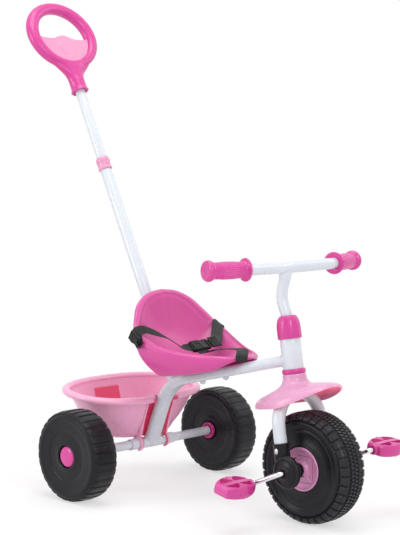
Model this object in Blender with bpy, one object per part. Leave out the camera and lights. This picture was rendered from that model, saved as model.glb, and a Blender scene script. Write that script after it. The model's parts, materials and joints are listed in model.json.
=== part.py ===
"""Toddler's tricycle with a telescoping push bar, belted bucket seat and tipping rear bucket."""

import math

import bmesh
import bpy
from mathutils import Matrix, Vector

# Overall layout, in metres and degrees. X runs forwards from the rear axle, Y to the rider's left, Z up
WHEELBASE = 0.446
TRACK = 0.413
RAKE = 10.0
FORK_OFFSET = 0.0175
FIT = 0.0003
SLIDE_FIT = 0.0005

# Rear wheels
REAR_RADIUS = 0.0925
REAR_WIDTH = 0.062
REAR_FACE_RADIUS = 0.0825
REAR_RIBS = 16
RIB_DEPTH = 0.0025
HUB_CAP_RADIUS = 0.021
HUB_CAP_HEIGHT = 0.0085
HUB_RECESS_DEPTH = 0.010
HUB_RECESS_GAP = 0.0022
WASHER_RADIUS = 0.011
BUSH_FLANGE_RADIUS = 0.0175
BUSH_FLANGE_THICKNESS = 0.009
BUSH_BARREL_RADIUS = 0.0125
BUSH_BARREL_LENGTH = 0.016

# Front wheel, crank and pedals
FRONT_RADIUS = 0.1075
FRONT_WIDTH = 0.068
FRONT_FACE_RADIUS = 0.088
FRONT_RIBS = 20
FRONT_HUB_RADIUS = 0.042
FRONT_HUB_DEPTH = 0.014
CRANK_ROD_RADIUS = 0.0048
CRANK_LENGTH = 0.060
CRANK_ANGLE = 204.0
CRANK_AXLE_REACH = 0.0945
CRANK_ARM_SPREAD = 0.0100
CRANK_BEND_RADIUS = 0.008
PEDAL_LENGTH = 0.078
PEDAL_WIDTH = 0.058
PEDAL_END_WIDTH = 0.036
PEDAL_THICKNESS = 0.022
PEDAL_EDGE_ROUND = 0.003
PEDAL_POCKET_FLOOR = 0.0075
PEDAL_POCKET_WALL = 0.005
PEDAL_SPINE_HALF_WIDTH = 0.0085
PEDAL_GAP = 0.0025
PEDAL_CAP_RADIUS = 0.0085
PEDAL_CAP_THICKNESS = 0.0035

# Axle and main frame
AXLE_ROD_RADIUS = 0.005
AXLE_TUBE_RADIUS = 0.0095
AXLE_TUBE_WALL = 0.0015
SLEEVE_WALL = 0.0023
SLEEVE_RADIUS = AXLE_TUBE_RADIUS + SLEEVE_WALL
SLEEVE_HALF_LENGTH = 0.062
MAIN_TUBE_WIDTH = 0.038
MAIN_TUBE_HEIGHT = 0.021
MAIN_TUBE_SLOPE = 13.7
MAIN_TUBE_JOINT = 0.02698
DOWN_TUBE_LEAN = 22.0
MAIN_TUBE_CORNER = 0.054
MAIN_TUBE_BEND_RADIUS = 0.11
FRAME_SCREW_OFFSET = 0.029
FRAME_SCREW_TURN = 50.0
SCREW_HEAD_RADIUS = 0.0038
SCREW_HEAD_HEIGHT = 0.0026

# Fork and fender. Heights here and in the next two groups run along the steering axis, from the
# foot of the perpendicular to the front axle
FORK_TUBE_RADIUS = 0.0125
FORK_HALF_SPACING = 0.062
FORK_BEND_BELOW_TYRE = 0.0255
FORK_BEND_CENTRE = FRONT_RADIUS - FORK_BEND_BELOW_TYRE
FORK_CROWN_TOP = FORK_BEND_CENTRE + FORK_HALF_SPACING + FORK_TUBE_RADIUS
FORK_LEG_BOTTOM = 0.030
BRACKET_TOP = 0.054
BRACKET_WALL = 0.0028
BRACKET_DISC_RADIUS = 0.0315
BRACKET_BOSS_INNER = 0.0400
BRACKET_DISC_INNER = 0.0700
BRACKET_DISC_OUTER = 0.0810
BRACKET_BOSS_OUTER = 0.0870
BRACKET_BOSS_RADIUS = 0.0105
RIVET_HEIGHT = 0.040
RIVET_RADIUS = 0.0036
FENDER_WALL = 0.0024
FENDER_STEPS = 22

# Head
HEAD_TUBE_RADIUS = 0.020
HEAD_TUBE_WALL = 0.0022
HEAD_TUBE_SPAN = 0.067
HEAD_RING_GAP = 0.0235
HEAD_RING_BOTTOM = FORK_CROWN_TOP + HEAD_RING_GAP
HEAD_RING_HEIGHT = 0.009
HEAD_RING_RADIUS = 0.0228
HEAD_CAP_BOTTOM = HEAD_RING_BOTTOM + HEAD_TUBE_SPAN
HEAD_CAP_HEIGHT = 0.045
HEAD_CAP_TOP = HEAD_CAP_BOTTOM + HEAD_CAP_HEIGHT
HEAD_CAP_RADIUS = 0.0230
HEAD_CAP_DOME = 0.022
HEAD_CAP_OVERLAP = 0.016

# Handlebar and the steerer that its stem sits in
BAR_TUBE_RADIUS = 0.0111
STEERER_WALL = 0.0027
STEERER_RADIUS = BAR_TUBE_RADIUS + STEERER_WALL
STEERER_TOP = HEAD_CAP_TOP - 0.024
BAR_RISE = 0.0915
BAR_HEIGHT = HEAD_CAP_TOP + BAR_RISE
BAR_FORWARD = 0.0103
BAR_KNEE_FORWARD = 0.0287
BAR_KNEE_SIDE = 0.112
BAR_KNEE_RADIUS = 0.050
STEM_BACKSET = 0.0075
STEM_BOTTOM = HEAD_RING_BOTTOM + 0.025
GRIP_SWEEP = 12.2
GRIP_LIFT = 2.6
GRIP_START = 0.0155
GRIP_LENGTH = 0.0915
GRIP_RADIUS = 0.0155
GRIP_FLANGE_RADIUS = 0.0222
GRIP_FLANGE_THICKNESS = 0.005
GRIP_KNOB_RADIUS = 0.0198
GRIP_KNOB_LENGTH = 0.012
GRIP_END_WALL = 0.004

# Push bar and ring handle
PUSH_BAR_LEAN = 26.4
PUSH_BAR_FOOT = 0.0640
PUSH_BAR_FOOT_RISE = 0.0188
PUSH_LOWER_RADIUS = 0.0125
PUSH_LOWER_WALL = 0.0011
PUSH_UPPER_RADIUS = 0.0110
PUSH_UPPER_WALL = 0.0012
PUSH_LOWER_TOP = 0.493
PUSH_OVERLAP = 0.060
SOCKET_RADIUS = 0.0152
SOCKET_LENGTH = 0.062
SOCKET_ROOT = 0.022
COLLAR_RADIUS = 0.0150
COLLAR_HEIGHT = 0.028
COLLAR_LIP = 0.005
HANDLE_NECK_START = 0.6585
HANDLE_NECK_RADIUS = 0.0172
HANDLE_BORE_DEPTH = 0.045
RING_CENTRE = 0.140
RING_OUTER_WIDTH = 0.190
RING_OUTER_HEIGHT = 0.163
RING_INNER_WIDTH = 0.134
RING_INNER_HEIGHT = 0.119
RING_INNER_DROP = 0.0035
RING_THICKNESS = 0.025
RING_EDGE_ROUND = 0.0085
PANEL_THICKNESS = 0.009
PANEL_TOP = -0.008
PANEL_HUMP = 0.010
EMBLEM_DROP = 0.029
EMBLEM_RADIUS = 0.0195
EMBLEM_HEIGHT = 0.0015

# Seat and belt
SEAT_DATUM = 0.2257
SEAT_WALL = 0.003
SEAT_RIM_WIDTH = 0.016
SEAT_BULGE = 0.015
SEAT_BULGE_SHARE = 0.15
SEAT_BOLT_PLACES = (0.150, 0.215)
SEAT_BOLT_RADIUS = 0.003
SEAT_BOLT_HEAD_RADIUS = 0.0065
SEAT_BOSS_RADIUS = 0.013
NUT_RADIUS = 0.0058
NUT_HEIGHT = 0.006
BELT_WIDTH = 0.024
BELT_THICKNESS = 0.0016
BUCKLE_LENGTH = 0.040
BUCKLE_WIDTH = 0.029
BUCKLE_THICKNESS = 0.009
BUCKLE_EDGE_ROUND = 0.0018

# Bucket
BUCKET_MIDDLE = -0.058
BUCKET_HALF_LENGTH = 0.103
BUCKET_HALF_WIDTH = 0.1645
BUCKET_RIM_HEIGHT = 0.2045
BUCKET_RIM_TILT = 0.10
BUCKET_FLOOR_HEIGHT = 0.1065
BUCKET_WALL = 0.0024
BUCKET_LIP = 0.011
BUCKET_CHANNEL_HALF_WIDTH = 0.0255
BUCKET_TUBE_GAP = 0.005
LUG_OFFSET = 0.0375
LUG_WIDTH = 0.007
LUG_WALL = 0.003

# Sides of a small round shape and of a large one
ROUND = 12
FINE = 24

WHITE_PAINT = ("white paint", (0.80, 0.82, 0.85), 0.28, 0.0)
MAGENTA_PLASTIC = ("magenta plastic", (0.72, 0.06, 0.30), 0.35, 0.0)
PINK_PLASTIC = ("light pink plastic", (0.80, 0.27, 0.46), 0.35, 0.0)
BLACK_PLASTIC = ("black plastic", (0.035, 0.035, 0.040), 0.5, 0.0)
BLACK_WEBBING = ("black webbing", (0.015, 0.015, 0.016), 0.85, 0.0)
BARE_STEEL = ("zinc plated steel", (0.62, 0.62, 0.64), 0.3, 1.0)
CHROME_STEEL = ("chromed steel", (0.80, 0.80, 0.82), 0.12, 1.0)


def clear_scene():
    """Remove every object that the scene holds at the start."""
    for old in list(bpy.data.objects):
        bpy.data.objects.remove(old, do_unlink=True)


def lerp(a, b, t):
    return a + (b - a) * t


def make_material(name, finish):
    """A plain material of one finish for one piece."""
    label, colour, roughness, metallic = finish
    material = bpy.data.materials.new(name + " " + label)
    material.use_nodes = True
    shader = material.node_tree.nodes["Principled BSDF"]
    shader.inputs["Base Color"].default_value = (*colour, 1.0)
    shader.inputs["Roughness"].default_value = roughness
    shader.inputs["Metallic"].default_value = metallic
    material.diffuse_color = (*colour, 1.0)
    return material


def make_empty(name, location, parent=None, rotation=(0.0, 0.0, 0.0)):
    """A frame of reference that pieces hang from."""
    empty = bpy.data.objects.new(name, None)
    bpy.context.scene.collection.objects.link(empty)
    empty.location = location
    empty.rotation_euler = rotation
    empty.parent = parent
    return empty


def make_piece(name, bm, finish, parent=None, location=(0.0, 0.0, 0.0), rotation=(0.0, 0.0, 0.0)):
    """Turn a bmesh into a named piece, shaded smooth where it is round."""
    bmesh.ops.recalc_face_normals(bm, faces=bm.faces)
    mesh = bpy.data.meshes.new(name)
    bm.to_mesh(mesh)
    bm.free()
    mesh.shade_smooth()
    mesh.set_sharp_from_angle(angle=math.radians(35.0))
    piece = bpy.data.objects.new(name, mesh)
    bpy.context.scene.collection.objects.link(piece)
    if finish is not None:
        mesh.materials.append(make_material(name, finish))
    piece.parent = parent
    piece.location = location
    piece.rotation_euler = rotation
    return piece


def make_tool(name, bm, parent=None, location=(0.0, 0.0, 0.0), rotation=(0.0, 0.0, 0.0)):
    """A shape that only cuts or joins another, and is hidden itself."""
    tool = make_piece(name, bm, None, parent, location, rotation)
    tool.hide_render = True
    tool.display_type = "WIRE"
    return tool


def combine(piece, tool, operation):
    """Add, cut or intersect one piece with a hidden shape."""
    modifier = piece.modifiers.new(tool.name, "BOOLEAN")
    modifier.operation = operation
    modifier.object = tool
    modifier.solver = "EXACT"


def loft(rings, closed_rows=False, caps=True):
    """Skin a list of rings that all have the same number of points."""
    bm = bmesh.new()
    rows = [[bm.verts.new(point) for point in ring] for ring in rings]
    count = len(rings[0])
    pairs = list(zip(rows, rows[1:]))
    if closed_rows:
        pairs.append((rows[-1], rows[0]))
    for lower, upper in pairs:
        for i in range(count):
            j = (i + 1) % count
            bm.faces.new((lower[i], lower[j], upper[j], upper[i]))
    if caps and not closed_rows:
        bm.faces.new(rows[0])
        bm.faces.new(rows[-1])
    return bm


def circle(radius, height, count=ROUND, axis="Z"):
    """A ring of points round an axis at a height along it."""
    points = []
    for i in range(count):
        angle = 2.0 * math.pi * i / count
        u, v = radius * math.cos(angle), radius * math.sin(angle)
        points.append(Vector((u, v, height)) if axis == "Z" else Vector((v, height, u)))
    return points


def hexagon(radius, height):
    """Twelve points on a hexagon, to pair with a twelve-point circle."""
    points = circle(radius, height, 12)
    for point in points[1::2]:
        point.x *= math.cos(math.pi / 6.0)
        point.y *= math.cos(math.pi / 6.0)
    return points


def turned(profile, count=ROUND, axis="Z", hollow=False):
    """Turn a profile of (radius, height) points; a hollow one closes on itself round a bore."""
    rings = [circle(radius, height, count, axis) for radius, height in profile]
    return loft(rings, closed_rows=hollow)


def cylinder(radius, start, end, count=ROUND, axis="Z"):
    return turned([(radius, start), (radius, end)], count, axis)


def box(low, high):
    """A closed box between two corners."""
    bm = bmesh.new()
    bmesh.ops.create_cube(bm, size=1.0)
    size = [b - a for a, b in zip(low, high)]
    centre = [(a + b) / 2.0 for a, b in zip(low, high)]
    bmesh.ops.scale(bm, vec=size, verts=bm.verts)
    bmesh.ops.translate(bm, vec=centre, verts=bm.verts)
    return bm


def oval_section(width, height, count=12):
    """A flattened round tube's outline: straight sides with half-round ends."""
    points = []
    flat = (width - height) / 2.0
    for i in range(count):
        angle = 2.0 * math.pi * (i + 0.5) / count
        side = flat if math.cos(angle) > 0.0 else -flat
        points.append((side + height / 2.0 * math.cos(angle), height / 2.0 * math.sin(angle)))
    return points


def round_section(radius, count=ROUND):
    step = 2.0 * math.pi / count
    return [(radius * math.cos(step * i), radius * math.sin(step * i)) for i in range(count)]


def tangents_of(path):
    """Unit tangents of a list of points."""
    tangents = []
    for i in range(len(path)):
        before = path[max(i - 1, 0)]
        after = path[min(i + 1, len(path) - 1)]
        tangents.append((after - before).normalized())
    return tangents


def sweep_rings(path, sides, section):
    """Rings of a section carried along a path; sides gives the section's first axis at each point."""
    rings = []
    for point, tangent, side in zip(path, tangents_of(path), sides):
        side = (side - tangent * side.dot(tangent)).normalized()
        other = tangent.cross(side)
        rings.append([point + side * u + other * v for u, v in section])
    return rings


def flat_sweep(path, side, section):
    """A solid bar or tube whose path lies in one plane, with side square to it."""
    return loft(sweep_rings(path, [Vector(side)] * len(path), section))


def filleted(corners, radii, steps=6):
    """Replace the inner corners of a polyline with arcs of the given radii."""
    path = [corners[0]]
    for before, corner, after, radius in zip(corners, corners[1:], corners[2:], radii):
        inward = (before - corner).normalized()
        onward = (after - corner).normalized()
        half = inward.angle(onward) / 2.0
        reach = radius / math.tan(half)
        centre = corner + (inward + onward).normalized() * (radius / math.sin(half))
        start = corner + inward * reach - centre
        end = corner + onward * reach - centre
        sweep = start.angle(end)
        for i in range(steps + 1):
            t = i / steps
            arm = (start * math.sin((1.0 - t) * sweep) + end * math.sin(t * sweep)) / math.sin(sweep)
            path.append(centre + arm)
    path.append(corners[-1])
    return path


def smooth_through(points, per_span=4):
    """A smooth curve through a few points, read several times in each span."""
    padded = [points[0] * 2 - points[1]] + points + [points[-1] * 2 - points[-2]]
    curve = []
    for a, b, c, d in zip(padded, padded[1:], padded[2:], padded[3:]):
        for i in range(per_span):
            t = i / per_span
            curve.append(0.5 * (2 * b + (c - a) * t + (2 * a - 5 * b + 4 * c - d) * t ** 2
                                + (3 * b - a - 3 * c + d) * t ** 3))
    curve.append(points[-1])
    return curve


def axis_point(forward, side, height):
    """A point given along and across the steering axis, in the frame's own axes."""
    lean = math.radians(RAKE)
    foot_x = WHEELBASE - FORK_OFFSET * math.cos(lean)
    foot_z = FRONT_RADIUS - FORK_OFFSET * math.sin(lean)
    x = foot_x + forward * math.cos(lean) - height * math.sin(lean)
    z = foot_z + forward * math.sin(lean) + height * math.cos(lean)
    return Vector((x, side, z))


def main_run_point(x):
    """A point on the straight run of the main tube's centre line, which meets the head above its ring."""
    joint = axis_point(0.0, 0.0, HEAD_RING_BOTTOM + MAIN_TUBE_JOINT)
    return Vector((x, 0.0, joint.z + (x - joint.x) * math.tan(math.radians(MAIN_TUBE_SLOPE))))


def push_point(distance):
    """A point on the push bar's axis, at a distance from its foot on the main tube's bend."""
    lean = math.radians(PUSH_BAR_LEAN)
    foot_z = main_run_point(MAIN_TUBE_CORNER).z + PUSH_BAR_FOOT_RISE
    return Vector((PUSH_BAR_FOOT - distance * math.sin(lean), 0.0, foot_z + distance * math.cos(lean)))


def main_tube_path():
    """Centre line of the main tube, from the rear axle to the head tube."""
    slope = math.radians(MAIN_TUBE_SLOPE)
    corner = main_run_point(MAIN_TUBE_CORNER)
    drop = corner.z - REAR_RADIUS
    foot = Vector((corner.x - drop * math.tan(math.radians(DOWN_TUBE_LEAN)), 0.0, REAR_RADIUS))
    run = Vector((math.cos(slope), 0.0, math.sin(slope)))
    ahead = axis_point(1.0, 0.0, 0.0) - axis_point(0.0, 0.0, 0.0)
    length = (axis_point(0.0, 0.0, 0.0) - corner).dot(ahead) / run.dot(ahead)
    end = corner + run * length
    return filleted([foot, corner, end], [MAIN_TUBE_BEND_RADIUS], steps=7)


def down_tube_x(height):
    """Where the down tube's centre line is at a height above the ground."""
    path = main_tube_path()
    for lower, upper in zip(path, path[1:]):
        if lower.z <= height <= upper.z:
            return lerp(lower.x, upper.x, (height - lower.z) / (upper.z - lower.z))
    return path[0].x


def make_main_tube(root):
    """Bent flat-oval tube with the axle sleeve at its foot and the push bar's socket on its bend."""
    path = main_tube_path()
    section = oval_section(MAIN_TUBE_WIDTH, MAIN_TUBE_HEIGHT)
    tube = make_piece("main_tube", flat_sweep(path, (0, 1, 0), section), WHITE_PAINT, root)
    sleeve = make_tool("axle_sleeve", cylinder(SLEEVE_RADIUS, -SLEEVE_HALF_LENGTH, SLEEVE_HALF_LENGTH,
                                               axis="Y"), root, (0, 0, REAR_RADIUS))
    combine(tube, sleeve, "UNION")
    lean = (0.0, -math.radians(PUSH_BAR_LEAN), 0.0)
    socket = make_tool("push_bar_socket", cylinder(SOCKET_RADIUS, -SOCKET_ROOT, SOCKET_LENGTH),
                       root, push_point(0.0), lean)
    combine(tube, socket, "UNION")
    bar_bore = make_tool("push_bar_bore", cylinder(PUSH_LOWER_RADIUS + FIT, 0.0, SOCKET_LENGTH + 0.01),
                         root, push_point(0.0), lean)
    combine(tube, bar_bore, "DIFFERENCE")
    axle_bore = make_tool("axle_bore", cylinder(AXLE_TUBE_RADIUS + FIT, -SLEEVE_HALF_LENGTH - 0.01,
                                                SLEEVE_HALF_LENGTH + 0.01, axis="Y"),
                          root, (0, 0, REAR_RADIUS))
    combine(tube, axle_bore, "DIFFERENCE")
    head = make_tool("head_cope", cylinder(HEAD_TUBE_RADIUS + FIT, FORK_CROWN_TOP, HEAD_CAP_TOP), root,
                     axis_point(0, 0, 0), (0.0, -math.radians(RAKE), 0.0))
    combine(tube, head, "DIFFERENCE")
    slope = (0.0, -math.radians(MAIN_TUBE_SLOPE), 0.0)
    for number, place in enumerate(SEAT_BOLT_PLACES, start=1):
        hole = make_tool("seat_bolt_hole_%d" % number, cylinder(SEAT_BOLT_RADIUS + FIT, -0.03, 0.03, 16),
                         root, main_run_point(place), slope)
        combine(tube, hole, "DIFFERENCE")


def make_seat_frame(root):
    """The frame of the seat and belt: their heights count from the main tube's corner, and move with it."""
    return make_empty("seat_frame", (0.0, 0.0, main_run_point(MAIN_TUBE_CORNER).z - SEAT_DATUM), root)


def seat_run_point(x):
    """A point on the main tube's straight run, in the frame of the seat."""
    point = main_run_point(x)
    point.z += SEAT_DATUM - main_run_point(MAIN_TUBE_CORNER).z
    return point


def make_axle(root):
    """Rear axle tube, the rod through it and the screws that hold it in its sleeve."""
    centre = (0.0, 0.0, REAR_RADIUS)
    half = TRACK / 2.0 - REAR_WIDTH / 2.0 - BUSH_FLANGE_THICKNESS + HUB_RECESS_DEPTH / 2.0 - FIT
    inner = AXLE_TUBE_RADIUS - AXLE_TUBE_WALL
    profile = [(AXLE_TUBE_RADIUS, -half), (AXLE_TUBE_RADIUS, half), (inner, half), (inner, -half)]
    make_piece("rear_axle_tube", turned(profile, axis="Y", hollow=True), WHITE_PAINT, root, centre)
    reach = TRACK / 2.0 + REAR_WIDTH / 2.0 - HUB_RECESS_DEPTH + 0.005
    make_piece("rear_axle_rod", cylinder(AXLE_ROD_RADIUS, -reach, reach, 12, "Y"), BARE_STEEL,
               root, centre)
    turn = math.radians(FRAME_SCREW_TURN)
    reach = SLEEVE_RADIUS + FIT
    head = [(SCREW_HEAD_RADIUS, 0.0), (SCREW_HEAD_RADIUS, 0.0012), (0.0026, SCREW_HEAD_HEIGHT)]
    for side, y in (("right", -FRAME_SCREW_OFFSET), ("left", FRAME_SCREW_OFFSET)):
        place = (reach * math.sin(turn), y, REAR_RADIUS + reach * math.cos(turn))
        make_piece("frame_screw_" + side, turned(head, 12), BARE_STEEL, root, place, (0.0, turn, 0.0))


def make_head(root, head_frame):
    """Head tube with its lower ring and its domed cap."""
    bottom = HEAD_RING_BOTTOM + HEAD_RING_HEIGHT + FIT
    top = HEAD_CAP_BOTTOM + HEAD_CAP_OVERLAP
    inner = HEAD_TUBE_RADIUS - HEAD_TUBE_WALL
    profile = [(HEAD_TUBE_RADIUS, bottom), (HEAD_TUBE_RADIUS, top), (inner, top), (inner, bottom)]
    make_piece("head_tube", turned(profile, hollow=True), WHITE_PAINT, head_frame)
    bore = STEERER_RADIUS + SLIDE_FIT
    low, high = HEAD_RING_BOTTOM, HEAD_RING_BOTTOM + HEAD_RING_HEIGHT
    ring = [(HEAD_RING_RADIUS - 0.0008, low), (HEAD_RING_RADIUS, (low + high) / 2.0),
            (HEAD_RING_RADIUS - 0.0008, high), (inner - FIT, high), (inner - FIT, high + 0.010),
            (bore, high + 0.010), (bore, low)]
    make_piece("head_ring", turned(ring, hollow=True), MAGENTA_PLASTIC, head_frame)
    dome = HEAD_CAP_TOP - HEAD_CAP_DOME
    stem_hole = BAR_TUBE_RADIUS + 0.0022
    profile = [(HEAD_CAP_RADIUS, HEAD_CAP_BOTTOM)]
    for i in range(4):
        angle = math.radians(90.0) * i / 4
        profile.append((lerp(stem_hole + 0.002, HEAD_CAP_RADIUS, math.cos(angle)),
                        dome + HEAD_CAP_DOME * math.sin(angle)))
    profile += [(stem_hole, HEAD_CAP_TOP - 0.0005), (STEERER_RADIUS + SLIDE_FIT, STEERER_TOP + 0.003),
                (STEERER_RADIUS + SLIDE_FIT, top + FIT), (HEAD_TUBE_RADIUS + FIT, top + FIT),
                (HEAD_TUBE_RADIUS + FIT, HEAD_CAP_BOTTOM)]
    make_piece("head_cap", turned(profile, hollow=True), MAGENTA_PLASTIC, head_frame)


def make_fork(steering):
    """Arched fork with its hollow steerer."""
    legs = [Vector((0.0, -FORK_HALF_SPACING, FORK_LEG_BOTTOM))]
    for i in range(10):
        angle = math.pi - math.pi * i / 9
        legs.append(Vector((0.0, FORK_HALF_SPACING * math.cos(angle),
                            FORK_BEND_CENTRE + FORK_HALF_SPACING * math.sin(angle))))
    legs.append(Vector((0.0, FORK_HALF_SPACING, FORK_LEG_BOTTOM)))
    fork = make_piece("fork", flat_sweep(legs, (1, 0, 0), round_section(FORK_TUBE_RADIUS)),
                      WHITE_PAINT, steering)
    crown = FORK_BEND_CENTRE + FORK_HALF_SPACING
    steerer = make_tool("steerer", cylinder(STEERER_RADIUS, crown, STEERER_TOP), steering)
    combine(fork, steerer, "UNION")
    bore = make_tool("steerer_bore", cylinder(BAR_TUBE_RADIUS + FIT, STEM_BOTTOM - 0.010,
                                              STEERER_TOP + 0.01), steering)
    combine(fork, bore, "DIFFERENCE")


def grip_direction(sign):
    """Unit direction of a grip, out and slightly back and up from the bar's knee."""
    sweep, lift = math.radians(GRIP_SWEEP), math.radians(GRIP_LIFT)
    level = math.cos(lift)
    return Vector((-math.sin(sweep) * level, sign * math.cos(sweep) * level, math.sin(lift)))


def make_handlebar(steering):
    """Bent cross tube and bowed stem in one, with a grip on each swept end."""
    reach = GRIP_START + GRIP_LENGTH - GRIP_END_WALL - FIT
    knees = {sign: Vector((BAR_KNEE_FORWARD, sign * BAR_KNEE_SIDE, BAR_HEIGHT)) for sign in (-1.0, 1.0)}
    corners = [knees[-1.0] + grip_direction(-1.0) * reach, knees[-1.0],
               Vector((BAR_FORWARD, 0.0, BAR_HEIGHT)), knees[1.0], knees[1.0] + grip_direction(1.0) * reach]
    route = filleted(corners, [BAR_KNEE_RADIUS, BAR_KNEE_SIDE, BAR_KNEE_RADIUS], steps=3)
    bar = make_piece("handlebar", flat_sweep(route, (0, 0, 1), round_section(BAR_TUBE_RADIUS)),
                     WHITE_PAINT, steering)
    bow = HEAD_CAP_TOP + 0.030
    rise = [Vector((0.0, 0.0, STEM_BOTTOM)), Vector((0.0, 0.0, HEAD_CAP_TOP - 0.012)),
            Vector((-0.002, 0.0, HEAD_CAP_TOP + 0.003)),
            Vector((-STEM_BACKSET, 0.0, bow)), Vector((-STEM_BACKSET * 0.5, 0.0, bow + 0.022)),
            Vector((BAR_FORWARD * 0.55, 0.0, BAR_HEIGHT - 0.020)),
            Vector((BAR_FORWARD, 0.0, BAR_HEIGHT))]
    stem = make_tool("stem", flat_sweep(smooth_through(rise, 2), (0, 1, 0),
                                        round_section(BAR_TUBE_RADIUS - 0.0001)), steering)
    combine(bar, stem, "UNION")
    bore = BAR_TUBE_RADIUS + FIT
    flange = GRIP_FLANGE_THICKNESS
    end = GRIP_LENGTH
    knob = end - GRIP_KNOB_LENGTH
    outline = [(bore, end - GRIP_END_WALL), (bore, 0.0), (GRIP_FLANGE_RADIUS, 0.001),
               (GRIP_FLANGE_RADIUS, flange - 0.001), (GRIP_RADIUS + 0.0005, flange + 0.0015),
               (GRIP_RADIUS, knob - 0.002), (GRIP_KNOB_RADIUS - 0.001, knob + 0.0015),
               (GRIP_KNOB_RADIUS, knob + 0.006), (GRIP_KNOB_RADIUS - 0.0012, end - 0.0025),
               (GRIP_KNOB_RADIUS - 0.0045, end)]
    for side, sign in (("left", 1.0), ("right", -1.0)):
        direction = grip_direction(sign)
        turn = Vector((0.0, 1.0, 0.0)).rotation_difference(direction).to_euler()
        make_piece("grip_" + side, turned(outline, axis="Y"), MAGENTA_PLASTIC, steering,
                   knees[sign] + direction * GRIP_START, turn)


def fender_ring(length, width, height, front_rise, rear_taper, count=FENDER_STEPS):
    """One level of the fender: an oval whose front lifts and whose rear narrows."""
    points = []
    for i in range(count):
        angle = 2.0 * math.pi * i / count
        c, s = math.cos(angle), math.sin(angle)
        narrow = 1.0 - rear_taper * max(-c, 0.0) ** 2
        rise = front_rise * max(c, 0.0) ** 1.5
        points.append(Vector((length * c, width * s * narrow, height + rise)))
    return points


def make_fender(steering):
    """Thin skirt from a round collar out to a long brim, with a sleeve down to the fork's crown."""
    top = HEAD_RING_BOTTOM - FIT
    levels = [(0.0225, 0.0225, top, 0.0, 0.0), (0.0230, 0.0240, top - 0.011, 0.0, 0.0),
              (0.0245, 0.0310, top - 0.0217, 0.001, 0.0), (0.0300, 0.0460, top - 0.0332, 0.007, 0.0),
              (0.0480, 0.0590, top - 0.0412, 0.014, 0.05), (0.0760, 0.0670, top - 0.0467, 0.019, 0.13),
              (0.0960, 0.0700, top - 0.0517, 0.022, 0.25)]
    outer = [fender_ring(*level) for level in levels]
    inner = []
    for i, (length, width, height, rise, taper) in enumerate(levels):
        before, after = levels[max(i - 1, 0)], levels[min(i + 1, len(levels) - 1)]
        along = Vector((after[0] - before[0], after[2] - before[2])).normalized() * FENDER_WALL
        across = Vector((after[1] - before[1], after[2] - before[2])).normalized() * FENDER_WALL
        drop = (along.x + across.x) / 2.0
        inner.append(fender_ring(length + along.y, width + across.y, height - drop, rise, taper))
    roof = top - FENDER_WALL
    bore = STEERER_RADIUS + FIT
    crown = FORK_CROWN_TOP + FIT
    core = [circle(radius, height, FENDER_STEPS)
            for radius, height in ((bore + FENDER_WALL, roof), (bore + FENDER_WALL, crown),
                                   (bore, crown), (bore, top))]
    inner[0] = circle(levels[0][0] - FENDER_WALL, roof, FENDER_STEPS)
    bm = loft(outer + inner[::-1] + core, closed_rows=True)
    make_piece("fender", bm, PINK_PLASTIC, steering)


def make_fork_brackets(steering):
    """Moulded ends under the fork legs: a socket for the leg, a round cover and the crank's bearing."""
    socket_radius = FORK_TUBE_RADIUS + FIT + BRACKET_WALL
    disc, boss = BRACKET_DISC_RADIUS, BRACKET_BOSS_RADIUS
    profile = [(boss, BRACKET_BOSS_INNER), (boss + 0.002, lerp(BRACKET_BOSS_INNER, BRACKET_DISC_INNER, 0.4)),
               (disc - 0.001, BRACKET_DISC_INNER), (disc, BRACKET_DISC_OUTER - 0.004),
               (disc - 0.005, BRACKET_DISC_OUTER), (boss + 0.004, BRACKET_DISC_OUTER + 0.002),
               (boss, BRACKET_BOSS_OUTER)]
    for side, sign in (("right", -1.0), ("left", 1.0)):
        cover = [(radius, sign * y) for radius, y in profile]
        bracket = make_piece("fork_bracket_" + side, turned(cover, 18, "Y"), BLACK_PLASTIC, steering,
                             (FORK_OFFSET, 0.0, 0.0))
        leg = (0.0, sign * FORK_HALF_SPACING, 0.0)
        socket = make_tool("leg_socket_" + side, cylinder(socket_radius, 0.010, BRACKET_TOP), steering, leg)
        combine(bracket, socket, "UNION")
        pocket = make_tool("leg_pocket_" + side, cylinder(FORK_TUBE_RADIUS + FIT, FORK_LEG_BOTTOM - FIT,
                                                          BRACKET_TOP + 0.01), steering, leg)
        combine(bracket, pocket, "DIFFERENCE")
        hole = make_tool("crank_hole_" + side, cylinder(CRANK_ROD_RADIUS + SLIDE_FIT,
                                                        sign * (BRACKET_BOSS_INNER - 0.005),
                                                        sign * (BRACKET_BOSS_OUTER + 0.005), 12, "Y"),
                         steering, (FORK_OFFSET, 0.0, 0.0))
        combine(bracket, hole, "DIFFERENCE")
        outer = FORK_HALF_SPACING + socket_radius + FIT
        rivet = [(RIVET_RADIUS, 0.0), (RIVET_RADIUS - 0.0006, 0.0010), (RIVET_RADIUS - 0.0022, 0.0016)]
        rivet = [(radius, sign * along) for radius, along in rivet]
        make_piece("fork_rivet_" + side, turned(rivet, 12, "Y"), BARE_STEEL, steering,
                   (0.0, sign * outer, RIVET_HEIGHT))


def wheel_rings(outline, ribs, segments_per_rib, rib_depth):
    """Rings of a wheel whose tread points drop between the ribs; outline is (radius, y, is_rib)."""
    count = ribs * segments_per_rib
    rings = []
    for radius, y, is_rib in outline:
        ring = []
        for i in range(count):
            low = is_rib and (i % segments_per_rib) == segments_per_rib - 1
            reach = radius - (rib_depth if low else 0.0)
            angle = 2.0 * math.pi * i / count
            ring.append(Vector((-reach * math.sin(angle), y, -reach * math.cos(angle))))
        rings.append(ring)
    return rings


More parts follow.
